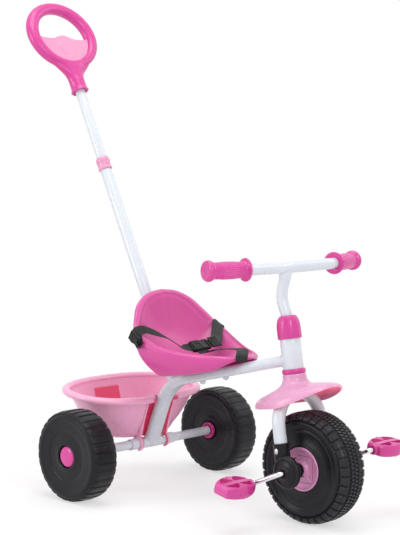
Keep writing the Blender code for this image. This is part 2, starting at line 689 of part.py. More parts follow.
def make_front_wheel(wheel_frame):
    """Blown front wheel with a ribbed shoulder, a smooth middle band and a hub insert each side."""
    half = FRONT_WIDTH / 2.0
    r = FRONT_RADIUS
    bore = CRANK_ROD_RADIUS + FIT
    seat = FRONT_HUB_RADIUS + FIT
    floor = half - FRONT_HUB_DEPTH
    side = [(seat, floor, False), (seat, half, False), (0.064, half - 0.0045, False),
            (FRONT_FACE_RADIUS, half, False), (r - 0.009, half - 0.0015, False),
            (r - 0.004, half - 0.0060, True), (r - 0.0012, half - 0.0150, True)]
    outline = [(bore, -floor, False)]
    outline += [(radius, -y, is_rib) for radius, y, is_rib in side]
    outline += [(r, -0.0130, False), (r, 0.0130, False)]
    outline += [(radius, y, is_rib) for radius, y, is_rib in reversed(side)]
    outline.append((bore, floor, False))
    bm = loft(wheel_rings(outline, FRONT_RIBS, 2, RIB_DEPTH), closed_rows=True)
    make_piece("front_wheel", bm, BLACK_PLASTIC, wheel_frame)
    rim_inner = FRONT_HUB_RADIUS - 0.006
    hub = [(bore, FIT), (FRONT_HUB_RADIUS, FIT), (FRONT_HUB_RADIUS, FRONT_HUB_DEPTH),
           (rim_inner, FRONT_HUB_DEPTH), (rim_inner - 0.002, FRONT_HUB_DEPTH - 0.003),
           (0.015, FRONT_HUB_DEPTH - 0.001), (0.013, FRONT_HUB_DEPTH + 0.004),
           (bore, FRONT_HUB_DEPTH + 0.004)]
    for name, sign in (("right", -1.0), ("left", 1.0)):
        rings = [circle(radius, sign * (floor + y), FINE, "Y") for radius, y in hub]
        make_piece("front_hub_" + name, loft(rings, closed_rows=True), PINK_PLASTIC, wheel_frame)


def crank_end(sign):
    """Centre of the crank's pedal pin, seen from the wheel's centre."""
    angle = math.radians(CRANK_ANGLE) if sign < 0 else math.radians(CRANK_ANGLE - 180.0)
    return CRANK_LENGTH * math.cos(angle), CRANK_LENGTH * math.sin(angle)


def make_crank(wheel_frame):
    """One bent rod: pedal pin, arm, axle through the hub, arm and pedal pin."""
    corners = []
    tip = pedal_inner() + PEDAL_LENGTH + 0.004
    for sign in (-1.0, 1.0):
        x, z = crank_end(sign)
        pin = [Vector((x, sign * tip, z)),
               Vector((x, sign * (CRANK_AXLE_REACH + CRANK_ARM_SPREAD), z)),
               Vector((0.0, sign * CRANK_AXLE_REACH, 0.0))]
        corners += pin if sign < 0 else reversed(pin)
    path = filleted(corners, [CRANK_BEND_RADIUS] * 4, steps=3)
    sides = []
    side = Vector((0.0, 0.0, 1.0))
    for tangent in tangents_of(path):
        side = (side - tangent * side.dot(tangent)).normalized()
        sides.append(side.copy())
    bm = loft(sweep_rings(path, sides, round_section(CRANK_ROD_RADIUS, 8)))
    make_piece("crank", bm, CHROME_STEEL, wheel_frame)


def pedal_inner():
    """Distance from the mid-plane to the inner end of a pedal."""
    arm = math.atan2(CRANK_LENGTH, CRANK_ARM_SPREAD)
    return CRANK_AXLE_REACH + CRANK_ARM_SPREAD + CRANK_BEND_RADIUS * math.tan(arm / 2.0) + PEDAL_GAP


def make_pedals(wheel_frame):
    """Frame-like pedals with pockets, each kept on its pin by a push-on cap."""
    half_end, half = PEDAL_END_WIDTH / 2.0, PEDAL_WIDTH / 2.0
    length = PEDAL_LENGTH
    outline = [(-half_end, 0.0), (half_end, 0.0), (half, length * 0.36), (half, length * 0.64),
               (half_end, length), (-half_end, length), (-half, length * 0.64), (-half, length * 0.36)]
    depth = PEDAL_THICKNESS / 2.0
    for name, sign in (("right", -1.0), ("left", 1.0)):
        x, z = crank_end(sign)
        frame = make_empty("pedal_axis_" + name, (x, sign * pedal_inner(), z), wheel_frame)
        rings = [[Vector((u, sign * v, w)) for u, v in outline] for w in (-depth, depth)]
        pedal = make_piece("pedal_" + name, loft(rings), MAGENTA_PLASTIC, frame)
        round_off = pedal.modifiers.new("round_off", "BEVEL")
        round_off.width = PEDAL_EDGE_ROUND
        round_off.segments = 2
        round_off.limit_method = "ANGLE"
        round_off.angle_limit = math.radians(30.0)
        spine, edge = PEDAL_SPINE_HALF_WIDTH, half - PEDAL_POCKET_WALL
        floor, over = PEDAL_POCKET_FLOOR, PEDAL_THICKNESS
        for level, (low, high) in (("top", (floor, over)), ("bottom", (-over, -floor))):
            for row, (near, far) in (("front", (spine, edge)), ("rear", (-edge, -spine))):
                pocket_rings = []
                for w in (low, high):
                    pocket_rings.append([Vector((near, sign * length * 0.16, w)),
                                         Vector((far, sign * length * 0.36, w)),
                                         Vector((far, sign * length * 0.64, w)),
                                         Vector((near, sign * length * 0.84, w))])
                    if near < 0:
                        pocket_rings[-1] = [Vector((far, sign * length * 0.16, w)),
                                            Vector((near, sign * length * 0.36, w)),
                                            Vector((near, sign * length * 0.64, w)),
                                            Vector((far, sign * length * 0.84, w))]
                pocket = make_tool("pocket_%s_%s_%s" % (name, level, row), loft(pocket_rings), frame)
                combine(pedal, pocket, "DIFFERENCE")
        bore = make_tool("pedal_bore_" + name, cylinder(CRANK_ROD_RADIUS + SLIDE_FIT, -0.01, length + 0.01,
                                                        12, "Y"), frame,
                         (0.0, 0.0 if sign > 0 else -length, 0.0))
        combine(pedal, bore, "DIFFERENCE")
        start = length + 0.001
        cap = [(CRANK_ROD_RADIUS + FIT, start), (PEDAL_CAP_RADIUS, start),
               (PEDAL_CAP_RADIUS - 0.001, start + PEDAL_CAP_THICKNESS),
               (CRANK_ROD_RADIUS + FIT, start + PEDAL_CAP_THICKNESS)]
        cap = [(radius, sign * y) for radius, y in cap]
        make_piece("pedal_cap_" + name, turned(cap, 12, "Y", hollow=True), BARE_STEEL, frame)


def make_rear_wheels(root):
    """Blown rear wheels, each with a domed outer cap, a lock washer and an inner bush."""
    half = REAR_WIDTH / 2.0
    r = REAR_RADIUS
    rod = AXLE_ROD_RADIUS + SLIDE_FIT
    recess = HUB_CAP_RADIUS + HUB_RECESS_GAP
    floor = half - HUB_RECESS_DEPTH
    bush = BUSH_BARREL_RADIUS + FIT
    bush_end = -half + BUSH_BARREL_LENGTH
    for name, sign in (("right", -1.0), ("left", 1.0)):
        frame = make_empty("rear_wheel_axis_" + name, (0.0, sign * TRACK / 2.0, REAR_RADIUS), root)
        outline = [(rod, bush_end, False), (bush, bush_end, False), (bush, -half + 0.0045, False),
                   (0.030, -half + 0.0040, False), (REAR_FACE_RADIUS, -half, False),
                   (r - 0.0045, -half + 0.0025, False),
                   (r - 0.0015, -half + 0.0070, True), (r, -half + 0.0200, True),
                   (r, half - 0.0200, True), (r - 0.0015, half - 0.0070, True),
                   (r - 0.0045, half - 0.0025, False),
                   (REAR_FACE_RADIUS, half, False), (recess, half - 0.0030, False),
                   (recess, floor, False), (rod, floor, False)]
        outline = [(radius, sign * y, is_rib) for radius, y, is_rib in outline]
        bm = loft(wheel_rings(outline, REAR_RIBS, 2, RIB_DEPTH), closed_rows=True)
        make_piece("rear_wheel_" + name, bm, BLACK_PLASTIC, frame)
        cap_base = floor + FIT
        cap = [(0.0125, cap_base + 0.0060), (0.0125, cap_base), (HUB_CAP_RADIUS, cap_base),
               (HUB_CAP_RADIUS, cap_base + 0.004), (HUB_CAP_RADIUS - 0.002, cap_base + 0.0065),
               (0.012, cap_base + HUB_CAP_HEIGHT), (0.005, cap_base + HUB_CAP_HEIGHT + 0.0008)]
        cap = [(radius, sign * y) for radius, y in cap]
        make_piece("hub_cap_" + name, turned(cap, 18, "Y"), MAGENTA_PLASTIC, frame)
        washer = [(AXLE_ROD_RADIUS + FIT, floor + FIT), (WASHER_RADIUS, floor + FIT),
                  (WASHER_RADIUS - 0.002, floor + 0.0022), (AXLE_ROD_RADIUS + FIT, floor + 0.0035)]
        washer = [(radius, sign * y) for radius, y in washer]
        make_piece("lock_washer_" + name, turned(washer, 12, "Y", hollow=True), BARE_STEEL, frame)
        flange = -half + 0.0045 - FIT
        tube_hole = AXLE_TUBE_RADIUS + SLIDE_FIT
        hollow = flange - BUSH_FLANGE_THICKNESS
        barrel = [(BUSH_BARREL_RADIUS, bush_end - FIT), (BUSH_BARREL_RADIUS, flange),
                  (BUSH_FLANGE_RADIUS - 0.003, flange), (BUSH_FLANGE_RADIUS, flange - 0.003),
                  (BUSH_FLANGE_RADIUS - 0.0005, hollow), (BUSH_FLANGE_RADIUS - 0.002, hollow),
                  (tube_hole, flange - 0.004), (rod, flange - 0.0035), (rod, bush_end - FIT)]
        barrel = [(radius, sign * y) for radius, y in barrel]
        make_piece("wheel_bush_" + name, turned(barrel, axis="Y", hollow=True), MAGENTA_PLASTIC, frame)


def seat_rim():
    """Half of the seat's rim, from the middle of the back to the nose, as (x, y, z) points."""
    points = [(0.0220, 0.0000, 0.4175), (0.0275, 0.0420, 0.4125), (0.0375, 0.0775, 0.3970),
              (0.0530, 0.1000, 0.3745), (0.0753, 0.1205, 0.3460), (0.1120, 0.1170, 0.3265),
              (0.1550, 0.1045, 0.3105), (0.2120, 0.0735, 0.3030), (0.2620, 0.0430, 0.3030),
              (0.2930, 0.0000, 0.3025)]
    return smooth_through([Vector(point) for point in points], per_span=2)


def seat_hem():
    """Half of the lower edge of the seat's skirt, matched to the rim's points."""
    points = [(0.0865, 0.0000, 0.2620), (0.0875, 0.0340, 0.2590), (0.0915, 0.0600, 0.2555),
              (0.1040, 0.0790, 0.2530), (0.1280, 0.0865, 0.2535), (0.1600, 0.0820, 0.2580),
              (0.1960, 0.0700, 0.2645), (0.2380, 0.0530, 0.2750), (0.2680, 0.0360, 0.2925),
              (0.2930, 0.0000, 0.2985)]
    return smooth_through([Vector(point) for point in points], per_span=2)


def whole_loop(half):
    """Mirror half a loop that starts and ends on the mid-plane."""
    other = [Vector((p.x, -p.y, p.z)) for p in reversed(half[1:-1])]
    return half + other


def pan_height(x):
    """Height of the seat pan's middle line, from the backrest to the nose."""
    line = [(0.034, 0.405), (0.040, 0.375), (0.052, 0.340), (0.068, 0.312), (0.088, 0.2935),
            (0.115, 0.2840), (0.150, 0.2810), (0.200, 0.2870), (0.250, 0.2955), (0.293, 0.3020)]
    if x <= line[0][0]:
        return line[0][1]
    for (x0, z0), (x1, z1) in zip(line, line[1:]):
        if x <= x1:
            return lerp(z0, z1, (x - x0) / (x1 - x0))
    return line[-1][1]


def make_seat(seat_frame):
    """Bucket seat: dished pan, rolled rim and a skirt down to the main tube."""
    rim = whole_loop(seat_rim())
    hem = whole_loop(seat_hem())
    rings = []
    for t in (1.0, 0.66, 0.3):
        ring = []
        for top, low in zip(rim, hem):
            out = Vector((top.x - 0.15, top.y * 1.3, 0.0)).normalized()
            bulge = min(SEAT_BULGE, SEAT_BULGE_SHARE * (top.z - low.z)) * math.sin(math.pi * t)
            ring.append(top.lerp(low, t) + out * bulge)
        rings.append(ring)
    rings.append([p + Vector((0, 0, -0.003)) for p in rim])
    rings.append([p + inward(p) * (SEAT_RIM_WIDTH * 0.4) for p in rim])
    rings.append([p + inward(p) * SEAT_RIM_WIDTH + Vector((0, 0, -0.005)) for p in rim])
    edge = rings[-1]
    for t in (0.18, 0.46, 0.80):
        ring = []
        for p in edge:
            spine_x = min(max(p.x, 0.062), 0.255)
            x = lerp(p.x, spine_x, t)
            y = p.y * (1.0 - t)
            floor = pan_height(x)
            rise = max(p.z - pan_height(p.x), 0.0)
            ring.append(Vector((x, y, floor + rise * (1.0 - t) ** 2.4)))
        rings.append(ring)
    bm = loft(rings, caps=False)
    bm.verts.ensure_lookup_table()
    count = len(rim)
    last = [bm.verts[(len(rings) - 1) * count + i] for i in range(count)]
    for i in range(1, count // 2 - 1):
        bm.faces.new((last[i], last[i + 1], last[count - i - 1], last[count - i]))
    bm.faces.new((last[0], last[1], last[count - 1]))
    bm.faces.new((last[count // 2 - 1], last[count // 2], last[count // 2 + 1]))
    seat = make_piece("seat", bm, MAGENTA_PLASTIC, seat_frame)
    wall = seat.modifiers.new("wall", "SOLIDIFY")
    wall.thickness = SEAT_WALL
    wall.offset = -1.0
    lean = math.radians(MAIN_TUBE_SLOPE)
    slope = (0.0, -lean, 0.0)
    for number, place in enumerate(SEAT_BOLT_PLACES, start=1):
        centre = seat_run_point(place)
        start = MAIN_TUBE_HEIGHT / 2.0 + FIT
        top = (pan_height(place) - centre.z) * math.cos(lean) - 0.001
        boss = make_tool("seat_boss_%d" % number, cylinder(SEAT_BOSS_RADIUS, start, top), seat_frame,
                         centre, slope)
        combine(seat, boss, "UNION")
        floor = top - SEAT_WALL / 2.0
        pocket = make_tool("bolt_pocket_%d" % number, cylinder(SEAT_BOLT_HEAD_RADIUS + SLIDE_FIT, floor,
                                                               top + 0.02), seat_frame, centre, slope)
        combine(seat, pocket, "DIFFERENCE")
        hole = make_tool("seat_hole_%d" % number, cylinder(SEAT_BOLT_RADIUS + FIT, 0.0, 0.08, 16),
                         seat_frame, centre, slope)
        combine(seat, hole, "DIFFERENCE")
        head = floor + FIT
        bottom = -MAIN_TUBE_HEIGHT / 2.0 - NUT_HEIGHT - 0.002
        bolt = [(SEAT_BOLT_RADIUS, bottom), (SEAT_BOLT_RADIUS, head), (SEAT_BOLT_HEAD_RADIUS, head),
                (SEAT_BOLT_HEAD_RADIUS - 0.001, head + 0.002), (0.003, head + 0.003)]
        make_piece("seat_bolt_%d" % number, turned(bolt, 12), BARE_STEEL, seat_frame, centre, slope)
        nut_top = -MAIN_TUBE_HEIGHT / 2.0 - FIT
        bore = SEAT_BOLT_RADIUS + FIT
        nut = [circle(bore, nut_top, 12), hexagon(NUT_RADIUS, nut_top),
               hexagon(NUT_RADIUS, nut_top - NUT_HEIGHT), circle(bore, nut_top - NUT_HEIGHT, 12)]
        make_piece("seat_nut_%d" % number, loft(nut, closed_rows=True), BARE_STEEL, seat_frame, centre, slope)


def inward(point):
    """Level direction from a point of the rim towards the seat's middle."""
    middle = Vector((min(max(point.x, 0.08), 0.24), 0.0, point.z))
    direction = middle - point
    direction.z = 0.0
    return direction.normalized()


def make_push_bar(root):
    """Lower tube with its collar, and the telescoping upper tube with the ring handle."""
    lean = (0.0, -math.radians(PUSH_BAR_LEAN), 0.0)
    frame = make_empty("push_bar_axis", push_point(0.0), root, lean)
    inner = PUSH_LOWER_RADIUS - PUSH_LOWER_WALL
    lower = [(PUSH_LOWER_RADIUS, FIT), (PUSH_LOWER_RADIUS, PUSH_LOWER_TOP), (inner, PUSH_LOWER_TOP),
             (inner, FIT)]
    make_piece("push_bar_lower", turned(lower, hollow=True), WHITE_PAINT, frame)
    bore = PUSH_UPPER_RADIUS + SLIDE_FIT
    bottom = PUSH_LOWER_TOP - COLLAR_HEIGHT + COLLAR_LIP
    top = PUSH_LOWER_TOP + COLLAR_LIP
    collar = [(PUSH_LOWER_RADIUS + FIT, bottom), (COLLAR_RADIUS, bottom), (COLLAR_RADIUS, top - 0.006),
              (COLLAR_RADIUS - 0.0018, top), (bore, top), (bore, PUSH_LOWER_TOP + FIT),
              (PUSH_LOWER_RADIUS + FIT, PUSH_LOWER_TOP + FIT)]
    make_piece("push_bar_collar", turned(collar, hollow=True), PINK_PLASTIC, frame)
    slider = make_empty("push_bar_slide", (0.0, 0.0, 0.0), frame)
    core = PUSH_UPPER_RADIUS - PUSH_UPPER_WALL
    start = PUSH_LOWER_TOP - PUSH_OVERLAP
    end = HANDLE_NECK_START + HANDLE_BORE_DEPTH - FIT
    upper = [(PUSH_UPPER_RADIUS, start), (PUSH_UPPER_RADIUS, end), (core, end), (core, start)]
    make_piece("push_bar_upper", turned(upper, hollow=True), WHITE_PAINT, slider)
    make_ring_handle(slider)


def handle_outline():
    """Outer edge of the ring handle and its neck, in (y, height) from the ring's centre."""
    a, b = RING_OUTER_WIDTH / 2.0, RING_OUTER_HEIGHT / 2.0
    neck = HANDLE_NECK_RADIUS
    steps = 12
    points = []
    for i in range(steps + 1):
        angle = math.radians(lerp(90.0, -52.0, i / steps))
        points.append(Vector((a * math.cos(angle), b * math.sin(angle))))
    blend = [Vector((0.0400, -0.0815)), Vector((0.0245, -0.0960)), Vector((0.0185, -0.1120)),
             Vector((neck, -0.1250)), Vector((neck, -RING_CENTRE))]
    right = points + blend
    left = [Vector((-p.x, p.y)) for p in reversed(right[1:])]
    return right + left


def make_ring_handle(slider):
    """Oval ring blended into a neck, with a panel across its lower half."""
    centre = (0.0, 0.0, HANDLE_NECK_START + RING_CENTRE)
    depth = RING_THICKNESS / 2.0
    rings = [[Vector((x, p.x, p.y)) for p in handle_outline()] for x in (-depth, depth)]
    handle = make_piece("ring_handle", loft(rings), MAGENTA_PLASTIC, slider, centre)
    opening = []
    for x in (-RING_THICKNESS, RING_THICKNESS):
        opening.append([Vector((x, RING_INNER_WIDTH / 2.0 * math.cos(2 * math.pi * i / FINE),
                                RING_INNER_HEIGHT / 2.0 * math.sin(2 * math.pi * i / FINE)
                                - RING_INNER_DROP))
                        for i in range(FINE)])
    hole = make_tool("handle_opening", loft(opening), slider, centre)
    combine(handle, hole, "DIFFERENCE")
    soften = handle.modifiers.new("soften", "BEVEL")
    soften.width = RING_EDGE_ROUND
    soften.segments = 2
    soften.limit_method = "ANGLE"
    soften.angle_limit = math.radians(60.0)
    bore = make_tool("handle_bore", cylinder(PUSH_UPPER_RADIUS + FIT, -0.02, HANDLE_BORE_DEPTH), slider,
                     (0.0, 0.0, HANDLE_NECK_START))
    combine(handle, bore, "DIFFERENCE")
    make_handle_panel(slider, centre)


def make_handle_panel(slider, centre):
    """Thin panel with a humped upper edge and a raised round boss on both faces."""
    shrink = math.cos(math.pi / FINE)
    a, b = RING_INNER_WIDTH / 2.0 * shrink - FIT, RING_INNER_HEIGHT / 2.0 * shrink - FIT
    outline = []
    start = math.asin((PANEL_TOP + RING_INNER_DROP) / b)
    for i in range(17):
        angle = lerp(start, -math.pi - start, i / 16)
        outline.append((a * math.cos(angle), b * math.sin(angle) - RING_INNER_DROP))
    for i in range(1, 14):
        y = lerp(outline[16][0], outline[0][0], i / 14)
        hump = PANEL_HUMP * math.exp(-(y / 0.022) ** 2) - 0.003 * math.sin(math.pi * i / 14)
        outline.append((y, PANEL_TOP + hump))
    depth = PANEL_THICKNESS / 2.0
    rings = [[Vector((x, y, z)) for y, z in outline] for x in (-depth, depth)]
    panel = make_piece("handle_panel", loft(rings), PINK_PLASTIC, slider, centre)
    reach = depth + EMBLEM_HEIGHT
    boss = turned([(EMBLEM_RADIUS, -reach), (EMBLEM_RADIUS, reach)], 24)
    bmesh.ops.rotate(boss, matrix=Matrix.Rotation(math.radians(90.0), 3, "Y"), verts=boss.verts)
    tool = make_tool("panel_boss", boss, slider, (0.0, 0.0, centre[2] - EMBLEM_DROP))
    combine(panel, tool, "UNION")


def bucket_ring(length, width, height, tilt, power=2.4, count=25):
    """One level of the bucket, with the channel for the down tube pressed into its front."""
    inside, outside = BUCKET_CHANNEL_HALF_WIDTH, BUCKET_CHANNEL_HALF_WIDTH + 0.004
    first = math.asin((outside / width) ** (power / 2.0))
    angles = [lerp(first, 2.0 * math.pi - first, i / (count - 1)) for i in range(count)]
    flat = math.asin((inside / width) ** (power / 2.0))
    angles = [0.0, flat] + angles + [2.0 * math.pi - flat]
    points = []
    for i, angle in enumerate(angles):
        c, s = math.cos(angle), math.sin(angle)
        x = math.copysign(abs(c) ** (2.0 / power), c) * length
        y = math.copysign(abs(s) ** (2.0 / power), s) * width
        z = height - x * BUCKET_RIM_TILT * tilt
        if i < 2 or i == len(angles) - 1:
            gap = MAIN_TUBE_HEIGHT / 2.0 / math.cos(math.radians(DOWN_TUBE_LEAN)) + BUCKET_TUBE_GAP
            x = min(x, down_tube_x(z) - gap - BUCKET_MIDDLE)
        points.append(Vector((x + BUCKET_MIDDLE, y, z)))
    return points


def make_bucket(root):
    """Deep tub with a rolled lip, a channel for the down tube and two lugs round the sleeve."""
    frame = make_empty("bucket_axis", (0.0, 0.0, REAR_RADIUS), root)
    a, b, lip = BUCKET_HALF_LENGTH, BUCKET_HALF_WIDTH, BUCKET_LIP
    rim = BUCKET_RIM_HEIGHT
    floor = BUCKET_FLOOR_HEIGHT
    levels = [(a - 0.001, b - 0.001, rim - 0.0075, 1.0), (a, b, rim - 0.003, 1.0),
              (a - 0.0025, b - 0.0025, rim, 1.0), (a - lip, b - lip, rim - 0.0015, 1.0),
              (a - lip - 0.010, b - lip - 0.012, rim - 0.012, 0.9),
              (a - 0.042, b - 0.072, floor + 0.020, 0.2), (a - 0.048, b - 0.084, floor + 0.003, 0.0),
              (a - 0.058, b - 0.094, floor, 0.0)]
    rings = [bucket_ring(*level) for level in levels]
    bm = loft(rings, caps=False)
    bm.verts.ensure_lookup_table()
    count = len(rings[0])
    base = (len(rings) - 1) * count
    bm.faces.new([bm.verts[base + i] for i in range(count)])
    bmesh.ops.translate(bm, vec=(0.0, 0.0, -REAR_RADIUS), verts=bm.verts)
    bucket = make_piece("bucket", bm, PINK_PLASTIC, frame)
    wall = bucket.modifiers.new("wall", "SOLIDIFY")
    wall.thickness = BUCKET_WALL
    wall.offset = -1.0
    inner = SLEEVE_RADIUS + SLIDE_FIT
    outer = inner + LUG_WALL
    saddle = inner + 0.0009
    for name, y in (("right", -LUG_OFFSET), ("left", LUG_OFFSET)):
        clip_rings = []
        steps = 9
        for i in range(steps + 1):
            angle = lerp(math.radians(-75.0), math.radians(150.0), i / steps)
            c, s = math.cos(angle), math.sin(angle)
            clip_rings.append([Vector((radius * c, y + across, radius * s))
                               for radius, across in ((inner, -LUG_WIDTH / 2.0), (inner, LUG_WIDTH / 2.0),
                                                      (outer, LUG_WIDTH / 2.0), (outer, -LUG_WIDTH / 2.0))])
        lug = make_tool("bucket_lug_" + name, loft(clip_rings), frame)
        combine(bucket, lug, "UNION")
        outline = [(-0.0140, 0.0155), (-0.0080, 0.0170), (-0.0005, 0.0340), (0.0215, 0.0990),
                   (0.0360, 0.1005), (0.0300, 0.0850), (0.0190, 0.0540), (0.0125, 0.0300),
                   (0.0080, saddle), (-0.0060, saddle)]
        fin_half = LUG_WIDTH / 2.0 - 0.001
        rings = [[Vector((x, y + across, z)) for x, z in outline] for across in (-fin_half, fin_half)]
        fin = make_tool("bucket_fin_" + name, loft(rings), frame)
        combine(bucket, fin, "UNION")


def strap(name, route, seat_frame, per_span=3):
    """A flat strap carried along a route of (place, width direction) pairs."""
    path = smooth_through([Vector(place) for place, _ in route], per_span)
    widths = smooth_through([Vector(side) for _, side in route], per_span)
    half_width, half_thick = BELT_WIDTH / 2.0, BELT_THICKNESS / 2.0
    section = [(-half_width, -half_thick), (half_width, -half_thick), (half_width, half_thick),
               (-half_width, half_thick)]
    make_piece(name, loft(sweep_rings(path, widths, section)), BLACK_WEBBING, seat_frame)


def make_belt(seat_frame):
    """Lap belt from both sides of the seat to a buckle, and the strap between the legs."""
    along = Vector((0.25, 0.968, 0.0))
    across = Vector((0.968, -0.25, 0.0))
    middle = Vector((0.158, -0.016, 0.3105))
    end = BUCKLE_LENGTH / 2.0 + 0.002
    rim_side = (0.86, 0.0, -0.50)
    right = [((0.094, -0.1240, 0.320), rim_side), ((0.089, -0.1265, 0.336), rim_side),
             ((0.086, -0.1210, 0.3485), rim_side), ((0.087, -0.1020, 0.3490), (0.80, -0.1, -0.55)),
             ((0.097, -0.0840, 0.3405), (0.75, -0.35, -0.5)), ((0.114, -0.0650, 0.3280), (0.8, -0.5, -0.25)),
             (middle - along * (end + 0.018) + Vector((0.0, 0.0, 0.005)), across),
             (middle - along * (end + 0.004) + Vector((0.0, 0.0, 0.0005)), across),
             (middle - along * end, across)]
    left = [((0.094, 0.1240, 0.320), rim_side), ((0.089, 0.1265, 0.336), rim_side),
            ((0.086, 0.1210, 0.3485), rim_side), ((0.090, 0.1020, 0.3480), (0.85, 0.15, -0.4)),
            ((0.103, 0.0820, 0.3370), (0.88, 0.35, 0.0)), ((0.124, 0.0560, 0.3210), (0.9, 0.3, 0.1)),
            (middle + along * (end + 0.016) + Vector((0.0, 0.0, 0.004)), across),
            (middle + along * (end + 0.004) + Vector((0.0, 0.0, 0.0005)), across),
            (middle + along * end, across)]
    crotch = [(middle + across * (BUCKLE_WIDTH / 2.0 + 0.002), along),
              (middle + across * (BUCKLE_WIDTH / 2.0 + 0.014), along),
              ((0.212, -0.0140, 0.3115), (0.1, 1.0, 0.0)), ((0.238, -0.0030, 0.3125), (0.2, 0.95, 0.0)),
              ((0.258, 0.0005, 0.3125), (0.5, 0.8, 0.05)), ((0.274, -0.0130, 0.3105), (0.75, 0.6, 0.0)),
              ((0.2860, -0.0280, 0.3060), (0.8, 0.55, 0.0)), ((0.2900, -0.0330, 0.2960), (0.8, 0.55, 0.0))]
    strap("belt_right", right, seat_frame)
    strap("belt_left", left, seat_frame)
    strap("belt_crotch", crotch, seat_frame)
    turn = math.atan2(along.y, along.x)
    half_width, half_thick = BUCKLE_WIDTH / 2.0, BUCKLE_THICKNESS / 2.0
    split = BUCKLE_LENGTH * 0.12
    for name, start, stop in (("buckle_socket", -BUCKLE_LENGTH / 2.0, split - FIT),
                              ("buckle_tongue", split, BUCKLE_LENGTH / 2.0)):
        block = make_piece(name, box((start, -half_width, -half_thick), (stop, half_width, half_thick)),
                           BLACK_PLASTIC, seat_frame, middle, (0.0, 0.0, turn))
        rounded = block.modifiers.new("rounded", "BEVEL")
        rounded.width = BUCKLE_EDGE_ROUND
        rounded.segments = 1


def main():
    clear_scene()
    ring_centre = push_point(HANDLE_NECK_START + RING_CENTRE)
    bead = RING_THICKNESS / 2.0
    rear_edge = ring_centre.x - (RING_OUTER_HEIGHT / 2.0 - bead) * math.sin(math.radians(PUSH_BAR_LEAN)) - bead
    front_edge = WHEELBASE + FRONT_RADIUS
    root = make_empty("tricycle", (-(front_edge + rear_edge) / 2.0, 0.0, 0.0))
    steering = make_empty("steering_axis", axis_point(0, 0, 0), root, (0.0, -math.radians(RAKE), 0.0))
    head_frame = make_empty("head_axis", axis_point(0, 0, 0), root, (0.0, -math.radians(RAKE), 0.0))
    wheel_frame = make_empty("front_wheel_axis", (FORK_OFFSET, 0.0, 0.0), steering,
                             (0.0, math.radians(RAKE), 0.0))
    make_main_tube(root)
    make_axle(root)
    make_head(root, head_frame)
    seat_frame = make_seat_frame(root)
    make_seat(seat_frame)
    make_belt(seat_frame)
    make_push_bar(root)
    make_fork(steering)
    make_handlebar(steering)
    make_fender(steering)
    make_fork_brackets(steering)
    make_front_wheel(wheel_frame)
    make_crank(wheel_frame)
    make_pedals(wheel_frame)
    make_rear_wheels(root)
    make_bucket(root)


main()
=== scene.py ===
import json
import math

import bmesh
import bpy
from mathutils import Matrix, Quaternion, Vector
from mathutils.bvhtree import BVHTree


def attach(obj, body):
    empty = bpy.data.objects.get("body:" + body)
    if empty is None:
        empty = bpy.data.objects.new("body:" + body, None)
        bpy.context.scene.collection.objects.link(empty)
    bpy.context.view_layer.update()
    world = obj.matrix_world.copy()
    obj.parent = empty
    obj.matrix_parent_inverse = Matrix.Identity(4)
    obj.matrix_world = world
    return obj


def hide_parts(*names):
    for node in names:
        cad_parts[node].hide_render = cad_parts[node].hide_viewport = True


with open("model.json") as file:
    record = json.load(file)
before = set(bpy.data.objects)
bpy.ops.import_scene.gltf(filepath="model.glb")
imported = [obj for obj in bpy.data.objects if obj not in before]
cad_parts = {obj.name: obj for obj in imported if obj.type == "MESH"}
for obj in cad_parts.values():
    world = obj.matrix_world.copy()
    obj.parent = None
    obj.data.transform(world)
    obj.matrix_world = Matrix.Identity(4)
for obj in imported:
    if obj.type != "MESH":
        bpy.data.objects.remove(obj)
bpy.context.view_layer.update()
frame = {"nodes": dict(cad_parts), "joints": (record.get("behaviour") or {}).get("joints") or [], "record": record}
yAxis = Vector((0.0, 1.0, 0.0))
zAxis = Vector((0.0, 0.0, 1.0))


def jointOf(name):
    return next(joint for joint in frame["joints"] if joint["name"] == name)


axlePlace = Vector(jointOf("bucket_tip")["pos_m"])
steerPlace = Vector(jointOf("steering_turn")["pos_m"])
steerUp = Vector(jointOf("steering_turn")["axis"]).normalized()
slideUp = Vector(jointOf("push_bar_slide")["axis"]).normalized()


def moved(x, y, z):
    return Matrix.Translation((x, y, z))


def scaled(x, y, z):
    return Matrix.Diagonal((x, y, z, 1.0))


def rotated(degrees, axis="Y"):
    return Matrix.Rotation(math.radians(degrees), 4, axis)


def frameMatrix(place, up):  # local Z lies along up and local Y across the tricycle
    up = Vector(up).normalized()
    return Matrix.Translation(place) @ Matrix((yAxis.cross(up), yAxis, up)).transposed().to_4x4()


atAxle = moved(axlePlace.x, 0.0, 0.0)  # x from the rear axle, z from the floor
atSteer = frameMatrix(steerPlace, steerUp)
atFront = Matrix.Translation(Vector(jointOf("front_wheel_spin")["pos_m"]))


def mm(points, *base):  # a table in millimetres as points in metres, moved by a base
    shift = Vector(base) if base else Vector([0.0] * len(points[0]))
    return [Vector(point) / 1000.0 + shift for point in points]


def ramp(value, low, high):  # 0 at low and 1 at high
    return min(max((value - low) / (high - low), 0.0), 1.0)


def softRamp(value, low, high):
    t = ramp(value, low, high)
    return t * t * (3.0 - 2.0 * t)


def around(count, shift=0.0):  # the angle, its cosine and its sine at even steps of a full turn
    angles = [2.0 * math.pi * (i + shift) / count for i in range(count)]
    return [(turn, math.cos(turn), math.sin(turn)) for turn in angles]


def circlePoints(radius, height, count, axis="Z"):
    if axis == "Z":
        return [Vector((radius * c, radius * q, height)) for _, c, q in around(count)]
    return [Vector((radius * q, height, radius * c)) for _, c, q in around(count)]


def roundOutline(radius, count=40):
    return [(radius * c, radius * q) for _, c, q in around(count)]


